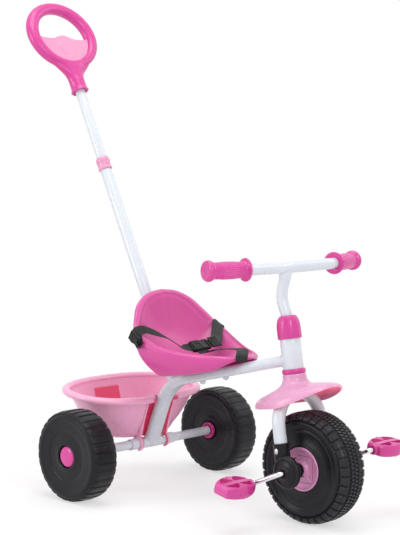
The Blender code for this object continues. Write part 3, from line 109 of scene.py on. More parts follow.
def softLine(points, fillet, steps=3, closed=False):  # rounds the corners of a flat outline
    points = [Vector(point) for point in points]
    count = len(points)
    line = []
    for i, corner in enumerate(points):
        a, b = points[i - 1] - corner, points[(i + 1) % count] - corner
        reach = min(fillet, a.length * 0.45, b.length * 0.45)
        if reach < 1e-6 or not closed and i in (0, count - 1):
            line.append(corner)
            continue
        start, end = corner + a.normalized() * reach, corner + b.normalized() * reach
        for k in range(steps + 1):
            t = k / steps
            line.append((1 - t) ** 2 * start + 2 * t * (1 - t) * corner + t ** 2 * end)
    return line


def loftRings(rings, closed=False, caps=True):
    bm = bmesh.new()
    rows = [[bm.verts.new(point) for point in ring] for ring in rings]
    count = len(rings[0])
    pairs = list(zip(rows, rows[1:]))
    if closed:
        pairs.append((rows[-1], rows[0]))
    for low, high in pairs:
        for i in range(count):
            j = (i + 1) % count
            bm.faces.new((low[i], low[j], high[j], high[i]))
    if caps and not closed:
        for row in (rows[0][::-1], rows[-1]):
            capRow(bm, row)
    return bm


def capRow(bm, row):
    middle = bm.verts.new(sum((v.co for v in row), Vector()) / len(row))
    for a, b in zip(row, row[1:] + row[:1]):
        bm.faces.new((a, b, middle))
    return middle


def turned(outline, count=64, axis="Z", hollow=False, fillet=0.0, steps=3, sign=1.0):
    outline = [(point[0], sign * point[1]) for point in outline]
    if fillet:
        outline = softLine(outline, fillet, steps, hollow)
    return loftRings([circlePoints(point[0], point[1], count, axis) for point in outline], closed=hollow)


def pipe(inner, outer, low, high, count=64, axis="Z", fillet=0.0, steps=2):
    outline = [(inner, low), (outer, low), (outer, high), (inner, high)]
    return turned(outline, count, axis, True, fillet, steps)


def tangentsOf(path):
    return [(path[min(i + 1, len(path) - 1)] - path[max(i - 1, 0)]).normalized() for i in range(len(path))]


def sweptRings(path, outline, side):  # side is one direction, or one for each point of the path
    rings = []
    for i, (point, tangent) in enumerate(zip(path, tangentsOf(path))):
        across = side[i] if isinstance(side, list) else Vector(side)
        across = (across - tangent * across.dot(tangent)).normalized()
        other = tangent.cross(across)
        rings.append([point + across * u + other * v for u, v in outline])
    return rings


def smoothPath(points, perSpan=8):
    points = [Vector(point) for point in points]
    padded = [points[0] * 2 - points[1]] + points + [points[-1] * 2 - points[-2]]
    path = []
    for a, b, c, d in zip(padded, padded[1:], padded[2:], padded[3:]):
        for i in range(perSpan):
            t = i / perSpan
            path.append(0.5 * (2 * b + (c - a) * t + (2 * a - 5 * b + 4 * c - d) * t ** 2
                               + (3 * b - a - 3 * c + d) * t ** 3))
    path.append(points[-1])
    return path


def arcCorners(corners, radii, steps=14):  # a polyline with its inner corners turned into arcs
    path = [corners[0]]
    for before, corner, after, radius in zip(corners, corners[1:], corners[2:], radii):
        inward, onward = (before - corner).normalized(), (after - corner).normalized()
        half = inward.angle(onward) / 2.0
        reach = radius / math.tan(half)
        centre = corner + (inward + onward).normalized() * (radius / math.sin(half))
        start, end = corner + inward * reach - centre, corner + onward * reach - centre
        sweep = start.angle(end)
        for i in range(steps + 1):
            first, second = math.sin((1 - i / steps) * sweep), math.sin(i / steps * sweep)
            path.append(centre + (start * first + end * second) / math.sin(sweep))
    path.append(corners[-1])
    return path


def pathLength(path):
    return sum((b - a).length for a, b in zip(path, path[1:]))


def between(path, start, stop, count):  # count + 1 points of a line, from one length along it to another
    lengths = [0.0]
    for a, b in zip(path, path[1:]):
        lengths.append(lengths[-1] + (b - a).length)
    points, k = [], 0
    for i in range(count + 1):
        want = start + (stop - start) * i / count
        while k < len(path) - 2 and lengths[k + 1] < want:
            k += 1
        span = lengths[k + 1] - lengths[k]
        share = min((want - lengths[k]) / span, 1.0) if span > 0 else 0.0
        points.append(path[k].lerp(path[k + 1], share))
    return points


def evenPath(path, step):  # the same line with its points an even step apart
    length = pathLength(path)
    return between(path, 0.0, length, max(int(round(length / step)), 2))


def looseObject(bm, name="loose"):
    mesh = bpy.data.meshes.new(name)
    bm.to_mesh(mesh)
    bm.free()
    holder = bpy.data.objects.new(name, mesh)
    bpy.context.scene.collection.objects.link(holder)
    return holder


def settled(holder):  # the mesh that an object's modifiers make, with the object removed
    bpy.context.view_layer.update()
    mesh = bpy.data.meshes.new_from_object(holder.evaluated_get(bpy.context.evaluated_depsgraph_get()))
    old = holder.data
    bpy.data.objects.remove(holder)
    bpy.data.meshes.remove(old)
    bm = bmesh.new()
    bm.from_mesh(mesh)
    bpy.data.meshes.remove(mesh)
    return bm


def modified(bm, **modifiers):  # what modifiers make of a shape, each given by its kind and its values
    holder = looseObject(bm)
    for kind, values in modifiers.items():
        modifier = holder.modifiers.new(kind, kind.upper())
        for label, value in values.items():
            setattr(modifier, label, value)
    return settled(holder)


def carved(bm, others, operation="DIFFERENCE"):  # one shape cut by others, or joined to them
    bmesh.ops.recalc_face_normals(bm, faces=bm.faces)
    base = looseObject(bm)
    tools = []
    for other in others:
        bmesh.ops.recalc_face_normals(other, faces=other.faces)
        tools.append(looseObject(other))
        cut = base.modifiers.new("cut", "BOOLEAN")
        cut.operation = operation
        cut.object = tools[-1]
        cut.solver = "EXACT"
    result = settled(base)
    for tool in tools:
        bpy.data.objects.remove(tool)
    return result


def rounded(bm, width, segments=3, angle=30.0):  # edges sharper than the angle get a round
    bmesh.ops.recalc_face_normals(bm, faces=bm.faces)
    return modified(bm, bevel={"width": width, "segments": segments, "limit_method": "ANGLE",
                               "angle_limit": math.radians(angle), "harden_normals": False})


def facedUp(bm, index):  # turns the faces over where the vertex at an index looks down
    bm.verts.ensure_lookup_table()
    bm.normal_update()
    if bm.verts[index].normal.z < 0.0:
        bmesh.ops.reverse_faces(bm, faces=bm.faces)
        bm.normal_update()


def boxShape(low, high):
    bm = bmesh.new()
    bmesh.ops.create_cube(bm, size=1.0)
    bmesh.ops.scale(bm, vec=[b - a for a, b in zip(low, high)], verts=bm.verts)
    bmesh.ops.translate(bm, vec=[(a + b) / 2.0 for a, b in zip(low, high)], verts=bm.verts)
    return bm


def evenBox(x, y, z):  # a box about the origin, given by its half sizes
    return boxShape((-x, -y, -z), (x, y, z))


def together(*shapes):  # several shapes in one mesh
    whole = bmesh.new()
    for shape in shapes:
        mesh = bpy.data.meshes.new("part")
        shape.to_mesh(mesh)
        shape.free()
        whole.from_mesh(mesh)
        bpy.data.meshes.remove(mesh)
    return whole


def placed(bm, matrix):
    bmesh.ops.transform(bm, matrix=matrix, verts=bm.verts)
    return bm


def bead(path, radius, side, ripple=0.12, waves=26):  # a closed weld bead along a ring of points
    count = len(path)
    rings = []
    for i, point in enumerate(path):
        tangent = (path[(i + 1) % count] - path[i - 1]).normalized()
        across = (side[i] - tangent * side[i].dot(tangent)).normalized()
        other = tangent.cross(across)
        size = radius * (1.0 + ripple * math.sin(2 * math.pi * waves * i / count))
        rings.append([point + across * u + other * v for u, v in roundOutline(size, 10)])
    return loftRings(rings, closed=True)


def makePiece(name, shape, look, body, place, stands="", sharp=38.0, merge=1e-6):
    bm = together(*shape) if isinstance(shape, list) else shape
    bmesh.ops.remove_doubles(bm, verts=bm.verts, dist=merge)
    bmesh.ops.recalc_face_normals(bm, faces=bm.faces)
    bmesh.ops.transform(bm, matrix=place, verts=bm.verts)
    mesh = bpy.data.meshes.new(name)
    bm.to_mesh(mesh)
    bm.free()
    mesh.shade_smooth()
    mesh.set_sharp_from_angle(angle=math.radians(sharp))
    mesh.materials.clear()
    mesh.materials.append(looks[look])
    piece = bpy.data.objects.new(name, mesh)
    bpy.context.scene.collection.objects.link(piece)
    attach(piece, body)
    if stands:
        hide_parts(stands)


def newTree(name, kind, inputs, outputs):  # an input's value is a number, or the kind of its socket
    tree = bpy.data.node_groups.new(name, kind)
    for label, value in inputs.items():
        plain = not isinstance(value, str)
        sort = ("Int" if isinstance(value, int) else "Float") if plain else value
        socket = tree.interface.new_socket(name=label, in_out="INPUT", socket_type="NodeSocket" + sort)
        if plain:
            socket.default_value = value
    for label in outputs:
        sort = "Geometry" if label == "Geometry" else "Float"
        tree.interface.new_socket(name=label, in_out="OUTPUT", socket_type="NodeSocket" + sort)
    return tree, tree.nodes.new("NodeGroupInput").outputs, tree.nodes.new("NodeGroupOutput").inputs


def joined(tree, value, socket):  # a link, or a plain value
    if isinstance(value, (int, float, tuple)):
        socket.default_value = value
    else:
        tree.links.new(value, socket)


def addNode(tree, kind, *values, **settings):
    node = tree.nodes.new(kind)
    for label, value in settings.items():
        setattr(node, label, value)
    for value, socket in zip(values, node.inputs):
        joined(tree, value, socket)
    return node


def labelled(tree, node, **values):
    for label, value in values.items():
        joined(tree, value, node.inputs[label])
    return node.outputs


def maths(tree, operation, *values, clamp=False):
    return addNode(tree, "ShaderNodeMath", *values, operation=operation, use_clamp=clamp).outputs[0]


def times(tree, first, *others):
    for other in others:
        first = maths(tree, "MULTIPLY", first, other)
    return first


def plus(tree, first, second, clamp=False):
    return maths(tree, "ADD", first, second, clamp=clamp)


def spread(tree, value, low, high, outLow, outHigh, way="LINEAR"):
    node = addNode(tree, "ShaderNodeMapRange", value, low, high, outLow, outHigh, interpolation_type=way)
    return node.outputs["Result"]


def eased(tree, value, low, high):  # a smooth step between two values
    return spread(tree, value, low, high, 0.0, 1.0, "SMOOTHSTEP")


def noiseOf(tree, place, scale, detail=2.0, roughness=0.5):
    node = tree.nodes.new("ShaderNodeTexNoise")
    return labelled(tree, node, Vector=place, Scale=scale, Detail=detail, Roughness=roughness)["Fac"]


def axesOf(tree, vector):
    return addNode(tree, "ShaderNodeSeparateXYZ", vector).outputs


def buildMouldedSkin():  # the faint grain, flow marks and uneven gloss of moulded plastic
    tree, given, made = newTree("mouldedSkin", "ShaderNodeTree",
                                {"Place": "Vector", "Grain": 900.0, "Flow": 9.0, "Smudge": 34.0},
                                ("Height", "Shade", "Gloss"))
    place = given["Place"]
    fine = noiseOf(tree, place, given["Grain"], 3.0, 0.6)
    soft = noiseOf(tree, place, given["Smudge"])
    joined(tree, plus(tree, times(tree, fine, 0.7), times(tree, soft, 0.3)), made["Height"])
    joined(tree, eased(tree, noiseOf(tree, place, given["Flow"], 3.0, 0.55), 0.32, 0.7), made["Shade"])
    joined(tree, eased(tree, noiseOf(tree, place, given["Smudge"], 4.0, 0.7), 0.35, 0.68), made["Gloss"])
    return tree


def buildPaleEdgeShadedCorner():  # paler along sharp edges, broken up by noise; darker in inward corners, a painted shade
    tree, given, made = newTree("paleEdgeShadedCorner", "ShaderNodeTree", {"Place": "Vector", "Break": 120.0},
                                ("Edge", "CornerShade"))
    point = tree.nodes.new("ShaderNodeNewGeometry").outputs["Pointiness"]
    broken = spread(tree, noiseOf(tree, given["Place"], given["Break"], 3.0, 0.65), 0.3, 0.7, 0.55, 1.0)
    joined(tree, times(tree, eased(tree, point, 0.515, 0.6), broken), made["Edge"])
    # painted shade: the corner mask rises where the surface folds inward
    joined(tree, eased(tree, point, 0.485, 0.4), made["CornerShade"])
    return tree


def buildSettledDust():  # a thin film on what faces up
    tree, given, made = newTree("settledDust", "ShaderNodeTree",
                                {"Place": "Vector", "Facing": "Vector", "Amount": 0.2}, ("Dust",))
    up = eased(tree, axesOf(tree, given["Facing"])["Z"], 0.25, 0.95)
    patch = eased(tree, noiseOf(tree, given["Place"], 60.0, 5.0, 0.7), 0.38, 0.72)
    joined(tree, times(tree, up, patch, given["Amount"]), made["Dust"])
    return tree


def buildWebWeave():  # ribs of a flat woven strap; the map's U runs across it and V along it, in metres
    tree, given, made = newTree("webWeave", "ShaderNodeTree",
                                {"Place": "Vector", "Pitch": 0.0016, "Rows": 0.0013}, ("Height", "Shade"))
    parts = axesOf(tree, given["Place"])
    column = maths(tree, "DIVIDE", parts["X"], given["Pitch"])
    row = maths(tree, "DIVIDE", parts["Y"], given["Rows"])
    lean = maths(tree, "SUBTRACT", maths(tree, "FRACT", times(tree, column, 0.5)), 0.5)
    lean = maths(tree, "ABSOLUTE", lean)
    across = maths(tree, "ABSOLUTE", maths(tree, "SINE", times(tree, column, math.pi)))
    along = maths(tree, "SINE", times(tree, plus(tree, row, times(tree, lean, 2.0)), math.pi))
    along = maths(tree, "ABSOLUTE", along)
    joined(tree, times(tree, across, plus(tree, 0.45, times(tree, along, 0.55))), made["Height"])
    fuzz = noiseOf(tree, given["Place"], 420.0, 4.0, 0.75)
    joined(tree, times(tree, plus(tree, across, along), fuzz), made["Shade"])
    return tree


mouldedSkin = buildMouldedSkin()
paleEdgeShadedCorner = buildPaleEdgeShadedCorner()
settledDust = buildSettledDust()
webWeave = buildWebWeave()
print("shader groups built")


def srgb(*values):  # a colour as it is seen, 0 to 255, in the shader's own scale
    return tuple(((v / 255.0 + 0.055) / 1.055) ** 2.4 if v > 10 else v / 3294.6 for v in values) + (1.0,)


def newMaterial(name):
    material = bpy.data.materials.new(name)
    material.use_nodes = True
    return material, material.node_tree


def useGroup(tree, group, **values):
    return labelled(tree, addNode(tree, "ShaderNodeGroup", node_tree=group), **values)


def mixed(tree, factor, first, second):
    node = addNode(tree, "ShaderNodeMix", factor, data_type="RGBA")
    joined(tree, first, node.inputs[6])
    joined(tree, second, node.inputs[7])
    return node.outputs[2]


def surface(tree, colour, roughness, height, bump, metallic=0.0, coat=0.0, specular=0.5, sheen=0.0,
            paintedGlow=None):
    shader = tree.nodes["Principled BSDF"]
    lift = addNode(tree, "ShaderNodeBump")
    labelled(tree, lift, Strength=bump[0], Distance=bump[1], Height=height)
    values = {"Base Color": colour, "Roughness": roughness, "Metallic": metallic, "Coat Weight": coat,
              "Coat Roughness": 0.12, "Specular IOR Level": specular, "Sheen Weight": sheen,
              "Normal": lift.outputs["Normal"]}
    # a painted glow, though the part is no lamp
    if paintedGlow is not None:
        values.update({"Emission Color": paintedGlow, "Emission Strength": 1.0})
    labelled(tree, shader, **values)


def plasticMaterial(name, finish):
    material, tree = newMaterial(name)
    where = tree.nodes.new("ShaderNodeTexCoord").outputs
    place, normal = where["Object"], where["Normal"]
    grain, flow, smudge = finish["scales"]
    skin = useGroup(tree, mouldedSkin, Place=place, Grain=grain, Flow=flow, Smudge=smudge)
    edge = useGroup(tree, paleEdgeShadedCorner, Place=place, Break=140.0)
    dust = useGroup(tree, settledDust, Place=place, Facing=normal, Amount=finish["dust"])["Dust"]
    shadeShare, edgeShare, cornerShadeShare = finish["shares"]
    colour = mixed(tree, times(tree, skin["Shade"], shadeShare), finish["colour"], finish["shade"])
    colour = mixed(tree, times(tree, edge["Edge"], edgeShare), colour, finish["edge"])
    # painted shade: the deep colour in inward corners
    colour = mixed(tree, times(tree, edge["CornerShade"], cornerShadeShare), colour, finish["deep"])
    paintedGlow, unlit = None, (0.0, 0.0, 0.0, 1.0)
    if "under" in finish:  # painted light through the wall: what faces down gets a deeper colour and a painted glow
        down = eased(tree, axesOf(tree, normal)["Z"], -0.15, -0.55)
        colour = mixed(tree, times(tree, down, finish["underShare"]), colour, finish["under"])
        paintedGlow = mixed(tree, down, unlit, finish["paintedGlow"])
    if "recess" in finish:  # painted shade and painted light through the wall: the channel that the tube lies in is reddened and given a painted glow
        half, top = finish["recess"]
        spot = axesOf(tree, place)
        within = eased(tree, maths(tree, "ABSOLUTE", spot["Y"]), half, half - 0.0025)
        ahead = eased(tree, axesOf(tree, normal)["X"], -0.15, 0.15)
        mask = times(tree, within, eased(tree, spot["Z"], top, top - 0.006), ahead)
        colour = mixed(tree, mask, colour, finish["recessColour"])
        paintedGlow = mixed(tree, mask, unlit, finish["paintedGlow"])
    colour = mixed(tree, dust, colour, (0.75, 0.72, 0.68, 1.0))
    rough = plus(tree, spread(tree, skin["Gloss"], 0.0, 1.0, *finish["rough"]), times(tree, dust, 0.5), True)
    surface(tree, colour, rough, skin["Height"], finish["bump"], coat=finish.get("coat", 0.0),
            specular=finish.get("specular", 0.5), paintedGlow=paintedGlow)
    return material


# the shares are of the tone noise, the pale edges and the painted corner shade; deep is the colour of the painted
# corner shade
magentaFinish = {"colour": srgb(208, 60, 146), "shade": srgb(197, 50, 137), "deep": srgb(170, 20, 100),
                 "edge": srgb(236, 126, 190), "shares": (0.55, 0.3, 0.55), "scales": (1500.0, 8.0, 30.0),
                 "dust": 0.05, "rough": (0.26, 0.36), "bump": (0.22, 0.00025), "coat": 0.1}
pinkFinish = {"colour": srgb(224, 150, 186), "shade": srgb(218, 140, 178), "deep": srgb(205, 92, 140),
              "edge": srgb(247, 196, 218), "shares": (0.5, 0.35, 0.5), "scales": (1300.0, 7.0, 26.0),
              "dust": 0.04, "rough": (0.24, 0.36), "bump": (0.2, 0.00025), "coat": 0.1}
blackFinish = {"colour": srgb(27, 26, 30), "shade": srgb(22, 21, 25), "deep": srgb(17, 17, 19),
               "edge": srgb(66, 66, 71), "shares": (0.6, 0.3, 0.6), "scales": (2200.0, 12.0, 46.0),
               "dust": 0.02, "rough": (0.26, 0.4), "bump": (0.3, 0.0003), "specular": 0.2}
finishes = {
    "magentaPlastic": magentaFinish,
    # a lighter copy of the magenta plastic: painted sheen on the seat
    "seatPlastic": dict(magentaFinish, colour=srgb(209, 76, 152), shade=srgb(201, 66, 144),
                        edge=srgb(232, 132, 190), rough=(0.34, 0.46)),
    "pinkPlastic": pinkFinish,
    # painted light: a coral colour and a glow where the skirt faces down
    "fenderPlastic": dict(pinkFinish, colour=srgb(221, 158, 193), shade=srgb(214, 148, 186),
                          under=srgb(232, 104, 140), underShare=0.92, paintedGlow=(0.32, 0.045, 0.08, 1.0)),
    # painted shade and glow in the channel beside the tube
    "bucketPlastic": dict(pinkFinish, colour=srgb(242, 172, 205), shade=srgb(238, 163, 199),
                          deep=srgb(208, 78, 126), recess=(0.037, 0.196), recessColour=srgb(214, 58, 100),
                          paintedGlow=(0.1, 0.008, 0.022, 1.0)),
    "hubPlastic": dict(pinkFinish, colour=srgb(208, 142, 184), shade=srgb(200, 130, 175)),
    "blackPlastic": blackFinish,
    "bucklePlastic": dict(blackFinish, colour=srgb(27, 28, 29), shade=srgb(23, 24, 25), rough=(0.2, 0.32),
                          scales=(2600.0, 12.0, 46.0)),
    "whitePaint": {"colour": srgb(213, 218, 225), "shade": srgb(206, 212, 221), "deep": srgb(176, 182, 192),
                   "edge": srgb(240, 242, 244), "shares": (0.5, 0.25, 0.4), "scales": (420.0, 11.0, 60.0),
                   "dust": 0.03, "rough": (0.2, 0.3), "bump": (0.1, 0.0003), "coat": 0.25},
}


def metalMaterial(name, colour, tarnish, rough, scratchScale):
    material, tree = newMaterial(name)
    place = tree.nodes.new("ShaderNodeTexCoord").outputs["Object"]
    stretch = labelled(tree, tree.nodes.new("ShaderNodeMapping"), Vector=place, Scale=(1.0, 0.12, 1.0))
    stretch = stretch["Vector"]
    fine = noiseOf(tree, stretch, scratchScale, 5.0, 0.7)
    slow = noiseOf(tree, place, 55.0, 4.0, 0.6)
    edge = useGroup(tree, paleEdgeShadedCorner, Place=place, Break=200.0)
    tone = mixed(tree, times(tree, eased(tree, slow, 0.4, 0.75), 0.6), colour, tarnish)
    # painted shade: near black in inward corners
    tone = mixed(tree, times(tree, edge["CornerShade"], 0.5), tone, (0.08, 0.08, 0.09, 1.0))
    roughness = spread(tree, times(tree, fine, plus(tree, slow, 0.5)), 0.2, 0.8, *rough)
    surface(tree, tone, roughness, fine, (0.12, 0.0001), metallic=1.0)
    return material


def webbingMaterial(name):
    material, tree = newMaterial(name)
    laid = addNode(tree, "ShaderNodeUVMap", uv_map="strapMap").outputs["UV"]
    weave = useGroup(tree, webWeave, Place=laid)
    colour = mixed(tree, weave["Shade"], srgb(20, 22, 21), srgb(46, 49, 47))
    rough = spread(tree, weave["Height"], 0.0, 1.0, 0.85, 0.62)
    surface(tree, colour, rough, weave["Height"], (0.9, 0.0005), specular=0.2, sheen=0.08)
    return material


looks = {name: plasticMaterial(name, finish) for name, finish in finishes.items()}
metals = {"zincSteel": (srgb(206, 207, 210), srgb(176, 178, 184), (0.22, 0.42), 900.0),
          "chromeSteel": (srgb(228, 229, 232), srgb(208, 210, 216), (0.05, 0.16), 700.0)}
looks.update({name: metalMaterial(name, *values) for name, values in metals.items()})
looks["blackWebbing"] = webbingMaterial("blackWebbing")
slotOf = {"whitePaint": "white_paint", "magentaPlastic": "magenta_plastic", "pinkPlastic": "pink_plastic",
          "blackPlastic": "black_plastic", "blackWebbing": "black_webbing", "zincSteel": "zinc_steel",
          "chromeSteel": "chromed_steel"}
lookOf = {slotName: look for look, slotName in slotOf.items()}
slotOf.update(seatPlastic="magenta_plastic", fenderPlastic="pink_plastic", bucketPlastic="pink_plastic",
              hubPlastic="pink_plastic", bucklePlastic="black_plastic")
for part in frame["record"]["subparts"]:
    node = frame["nodes"][part["node"]]
    node.data.materials.clear()
    node.data.materials.append(looks[lookOf[part["material_slot"]]])
print("materials built")


def meshShape(name, bm, look, tree, **values):  # what a Geometry Nodes tree makes of a mesh
    holder = looseObject(bm, name)
    grow = holder.modifiers.new(tree.name, "NODES")
    grow.node_group = tree
    sockets = {item.name: item.identifier for item in tree.interface.items_tree if item.in_out == "INPUT"}
    for label, value in values.items():
        grow[sockets[label]] = value
    grow[sockets["Material"]] = looks[look]
    return settled(holder)


def meshTree(name, inputs):
    inputs = {"Geometry": "Geometry", **inputs, "Material": "Material"}
    return newTree(name, "GeometryNodeTree", inputs, ("Geometry",))


def closeTree(tree, made, geometry, given):  # every tree ends the same way
    plain = addNode(tree, "GeometryNodeRealizeInstances", geometry)
    coat = labelled(tree, tree.nodes.new("GeometryNodeSetMaterial"), Geometry=plain.outputs["Geometry"],
                    Material=given["Material"])
    joined(tree, coat["Geometry"], made["Geometry"])


def combined(tree, x, y, z):
    return addNode(tree, "ShaderNodeCombineXYZ", x, y, z).outputs[0]


def copiesTree(name, inputs, place):  # copies of one shape, which the place function puts or turns
    tree, given, made = meshTree(name, inputs)
    spots = addNode(tree, "GeometryNodePoints", given["Count"])
    number = tree.nodes.new("GeometryNodeInputIndex").outputs[0]
    copies = tree.nodes.new("GeometryNodeInstanceOnPoints")
    labelled(tree, copies, Points=spots.outputs[0], Instance=given["Geometry"])
    place(tree, given, number, spots.inputs, copies.inputs)
    closeTree(tree, made, copies.outputs["Instances"], given)
    return tree


def turnCopies(tree, given, number, spots, copies):
    step = maths(tree, "DIVIDE", 2.0 * math.pi, given["Count"])
    turn = times(tree, plus(tree, number, given["Start"]), step)
    joined(tree, combined(tree, 0.0, turn, 0.0), copies["Rotation"])


def buildRidgedTread():  # presses grooves into a turned tyre, in a pattern of paired ridges
    tree, given, made = meshTree("ridgedTread", {"Pairs": 16, "Depth": 0.002, "Begin": 0.08, "Full": 0.088})
    parts = axesOf(tree, tree.nodes.new("GeometryNodeInputPosition").outputs[0])
    x, z = parts["X"], parts["Z"]
    radius = maths(tree, "SQRT", plus(tree, times(tree, x, x), times(tree, z, z)))
    turn = maths(tree, "DIVIDE", maths(tree, "ARCTAN2", x, z), 2.0 * math.pi)
    along = maths(tree, "FRACT", plus(tree, times(tree, turn, given["Pairs"]), 64.0))
    off = maths(tree, "ABSOLUTE", maths(tree, "SUBTRACT", along, 0.5))
    slim = times(tree, eased(tree, off, 0.075, 0.035), 0.75)
    groove = maths(tree, "MAXIMUM", eased(tree, off, 0.36, 0.43), slim)
    press = times(tree, groove, eased(tree, radius, given["Begin"], given["Full"]), given["Depth"])
    inward = [times(tree, maths(tree, "DIVIDE", axis, radius), -1.0) for axis in (x, z)]
    inward = combined(tree, inward[0], 0.0, inward[1])
    scale = addNode(tree, "ShaderNodeVectorMath", inward, operation="SCALE")
    offset = labelled(tree, scale, Scale=press)[0]
    shift = tree.nodes.new("GeometryNodeSetPosition")
    shifted = labelled(tree, shift, Geometry=given["Geometry"], Offset=offset)["Geometry"]
    closeTree(tree, made, shifted, given)
    return tree


aroundAxle = copiesTree("aroundAxle", {"Count": 12, "Start": 0.0}, turnCopies)
ridgedTread = buildRidgedTread()


def treadBar(route, width, height, edge):  # a rounded bar along a route of radii and sides, at the bottom
    path = [Vector((0.0, side, -radius)) for radius, side in route]
    xAxis, half, low, sunk = Vector((1.0, 0.0, 0.0)), width / 2.0, -0.0015, -0.0008
    rings = []
    for i, (point, tangent) in enumerate(zip(path, tangentsOf(path))):
        out = tangent.cross(xAxis).normalized()
        if out.z > 0.0:
            out = -out
        rise = sunk if i in (0, len(path) - 1) else height
        section = [(-half, low), (-half, rise - edge), (-half + edge, rise), (half - edge, rise),
                   (half, rise - edge), (half, low)]
        rings.append([point + xAxis * u + out * v for u, v in section])
    return loftRings(rings)


frontWheelSizes = {  # the tables give radius and side in millimetres, the side from the tyre's outer face
    "half": 0.034, "hubDepth": 0.014, "bore": 0.0053, "treadBase": 0.105, "bars": 36, "blocks": 92,
    "bar": (0.0146, 0.0026, 0.0017), "blockRows": (-0.0102, 0.0, 0.0102), "block": (0.0046, 0.0025, 0.0006),
    "blockSpots": (-0.0044, -0.0037, 0.0037, 0.0044),
    "face": [(42.3, -14), (42.3, -0.8), (43.6, 0), (46.2, -0.4), (50, -3), (59, -4.6), (70, -4.4),
             (71.6, -2.4), (73.8, -2.2), (75.2, -3.4), (79.2, -2.2), (82.6, -0.4), (85.2, 0), (88.2, -0.2),
             (90, -1.8), (91, -4.2), (94, -4.6), (96.4, -4.8), (99, -5.6), (101.4, -8.8), (103.2, -13),
             (104.4, -17.2), (105, -21.5)],
    "barRoute": [(91.7, -3), (94.5, -3.4), (97.8, -4.2), (100.6, -6.8), (102.6, -10.6), (103.9, -14.6),
                 (104.6, -17.8)]}


def makeFrontWheel():
    s = frontWheelSizes
    face, route = mm(s["face"], 0.0, s["half"]), mm(s["barRoute"], 0.0, s["half"])
    floor = s["half"] - s["hubDepth"]
    outline = [(s["bore"], -floor)] + [(r, -y) for r, y in face] + [(s["treadBase"], 0.0)]
    outline += face[::-1] + [(s["bore"], floor)]
    shapes = [turned(outline, 192, "Y", True, 0.0014, 2)]
    for sign, start in ((1.0, 0.0), (-1.0, 0.5)):
        bar = treadBar([(r, sign * y) for r, y in route], *s["bar"])
        shapes.append(meshShape("shoulderBars", bar, "blackPlastic", aroundAxle, Count=s["bars"],
                                Start=start))
    for row, middle in enumerate(s["blockRows"]):
        block = treadBar([(s["treadBase"], middle + y) for y in s["blockSpots"]], *s["block"])
        shapes.append(meshShape("treadBlocks", block, "blackPlastic", aroundAxle, Count=s["blocks"],
                                Start=0.5 * (row % 2)))
    makePiece("front_tyre", shapes, "blackPlastic", "front_wheel", atFront, "front_wheel", 42.0)


rearWheelSizes = {  # in millimetres: inner from the inner face, bush from its flange, the rest from outside
    "half": 0.031, "radius": 0.0925, "crownEnd": 0.019, "pairs": 16, "depth": 0.0024, "begin": 0.0868,
    "full": 0.09, "hubBase": 0.0213, "flange": 0.0042, "notch": (0.0013, 0.0099, 0.004), "notches": 10,
    "face": [(26.2, -1.6), (33, -3), (50, -3.6), (51.8, -2.6), (70, -1.4), (76, -0.2), (80.6, 0),
             (83.6, -1.2), (84.6, -3), (86.2, -3.2), (87.8, -2.6)],
    "crown": [(89.6, -3.6), (91, -7), (92, -12), (92.5, -19)],
    "inner": [(5.5, 16), (12.8, 16), (12.8, 4.5), (19, 4.8), (21.5, 2.2)],
    "recess": [(23.2, -2.2), (23.2, -10), (5.5, -10)],
    "cap": [(0.1, 0), (20.7, 0), (21, 4), (20, 6), (16.5, 7.8), (11, 9), (5, 9.7), (0.1, 9.9)],
    "bush": [(12.4, 11.5), (12.4, 0), (15.6, 0), (17.5, -2.2), (17.4, -7.8), (16.4, -9), (14.2, -8.8),
             (12, -5.2), (10.2, -4.4), (5.6, -4), (5.6, 11.5)]}


def makeRearWheel(side, sign):
    s = rearWheelSizes
    half = s["half"]
    face, crown, recess = (mm(s[name], 0.0, half) for name in ("face", "crown", "recess"))
    outline = mm(s["inner"], 0.0, -half) + [(r, -y) for r, y in face]
    outline += softLine([(r, -y) for r, y in crown], 0.003)
    outline += [(s["radius"], t * (half - s["crownEnd"]) / 6.0) for t in range(-5, 6)]
    outline += softLine(crown, 0.003)[::-1] + face[::-1] + recess
    tyre = turned(outline, 384, "Y", True, 0.0012, 2, sign)
    tyre = meshShape("rearTyre", tyre, "blackPlastic", ridgedTread, Pairs=s["pairs"], Depth=s["depth"],
                     Begin=s["begin"], Full=s["full"])
    body = "rear_wheel_" + side
    place = Matrix.Translation(Vector(jointOf(body + "_spin")["pos_m"]))
    makePiece("rear_tyre_" + side, tyre, "blackPlastic", body, place, body)
    cap = turned(mm(s["cap"], 0.0, s["hubBase"]), 72, "Y", False, 0.0022, 5, sign)
    makePiece("hub_dome_" + side, cap, "magentaPlastic", body, place, "hub_cap_" + side)
    flange = -half + s["flange"]
    bush = turned(mm(s["bush"], 0.0, flange), 96, "Y", True, 0.0008, 2, sign)
    wide, deep, near = s["notch"]
    ends = sorted((sign * (flange - deep), sign * (flange - near)))
    notch = boxShape((-wide, ends[0], -0.0182), (wide, ends[1], -0.0136))
    notches = meshShape("bushNotches", notch, "magentaPlastic", aroundAxle, Count=s["notches"], Start=0.0)
    makePiece("bush_" + side, carved(bush, [notches]), "magentaPlastic", body, place, "wheel_bush_" + side)


makeFrontWheel()
for sideName, sideSign in (("right", -1.0), ("left", 1.0)):
    makeRearWheel(sideName, sideSign)
print("wheels built")


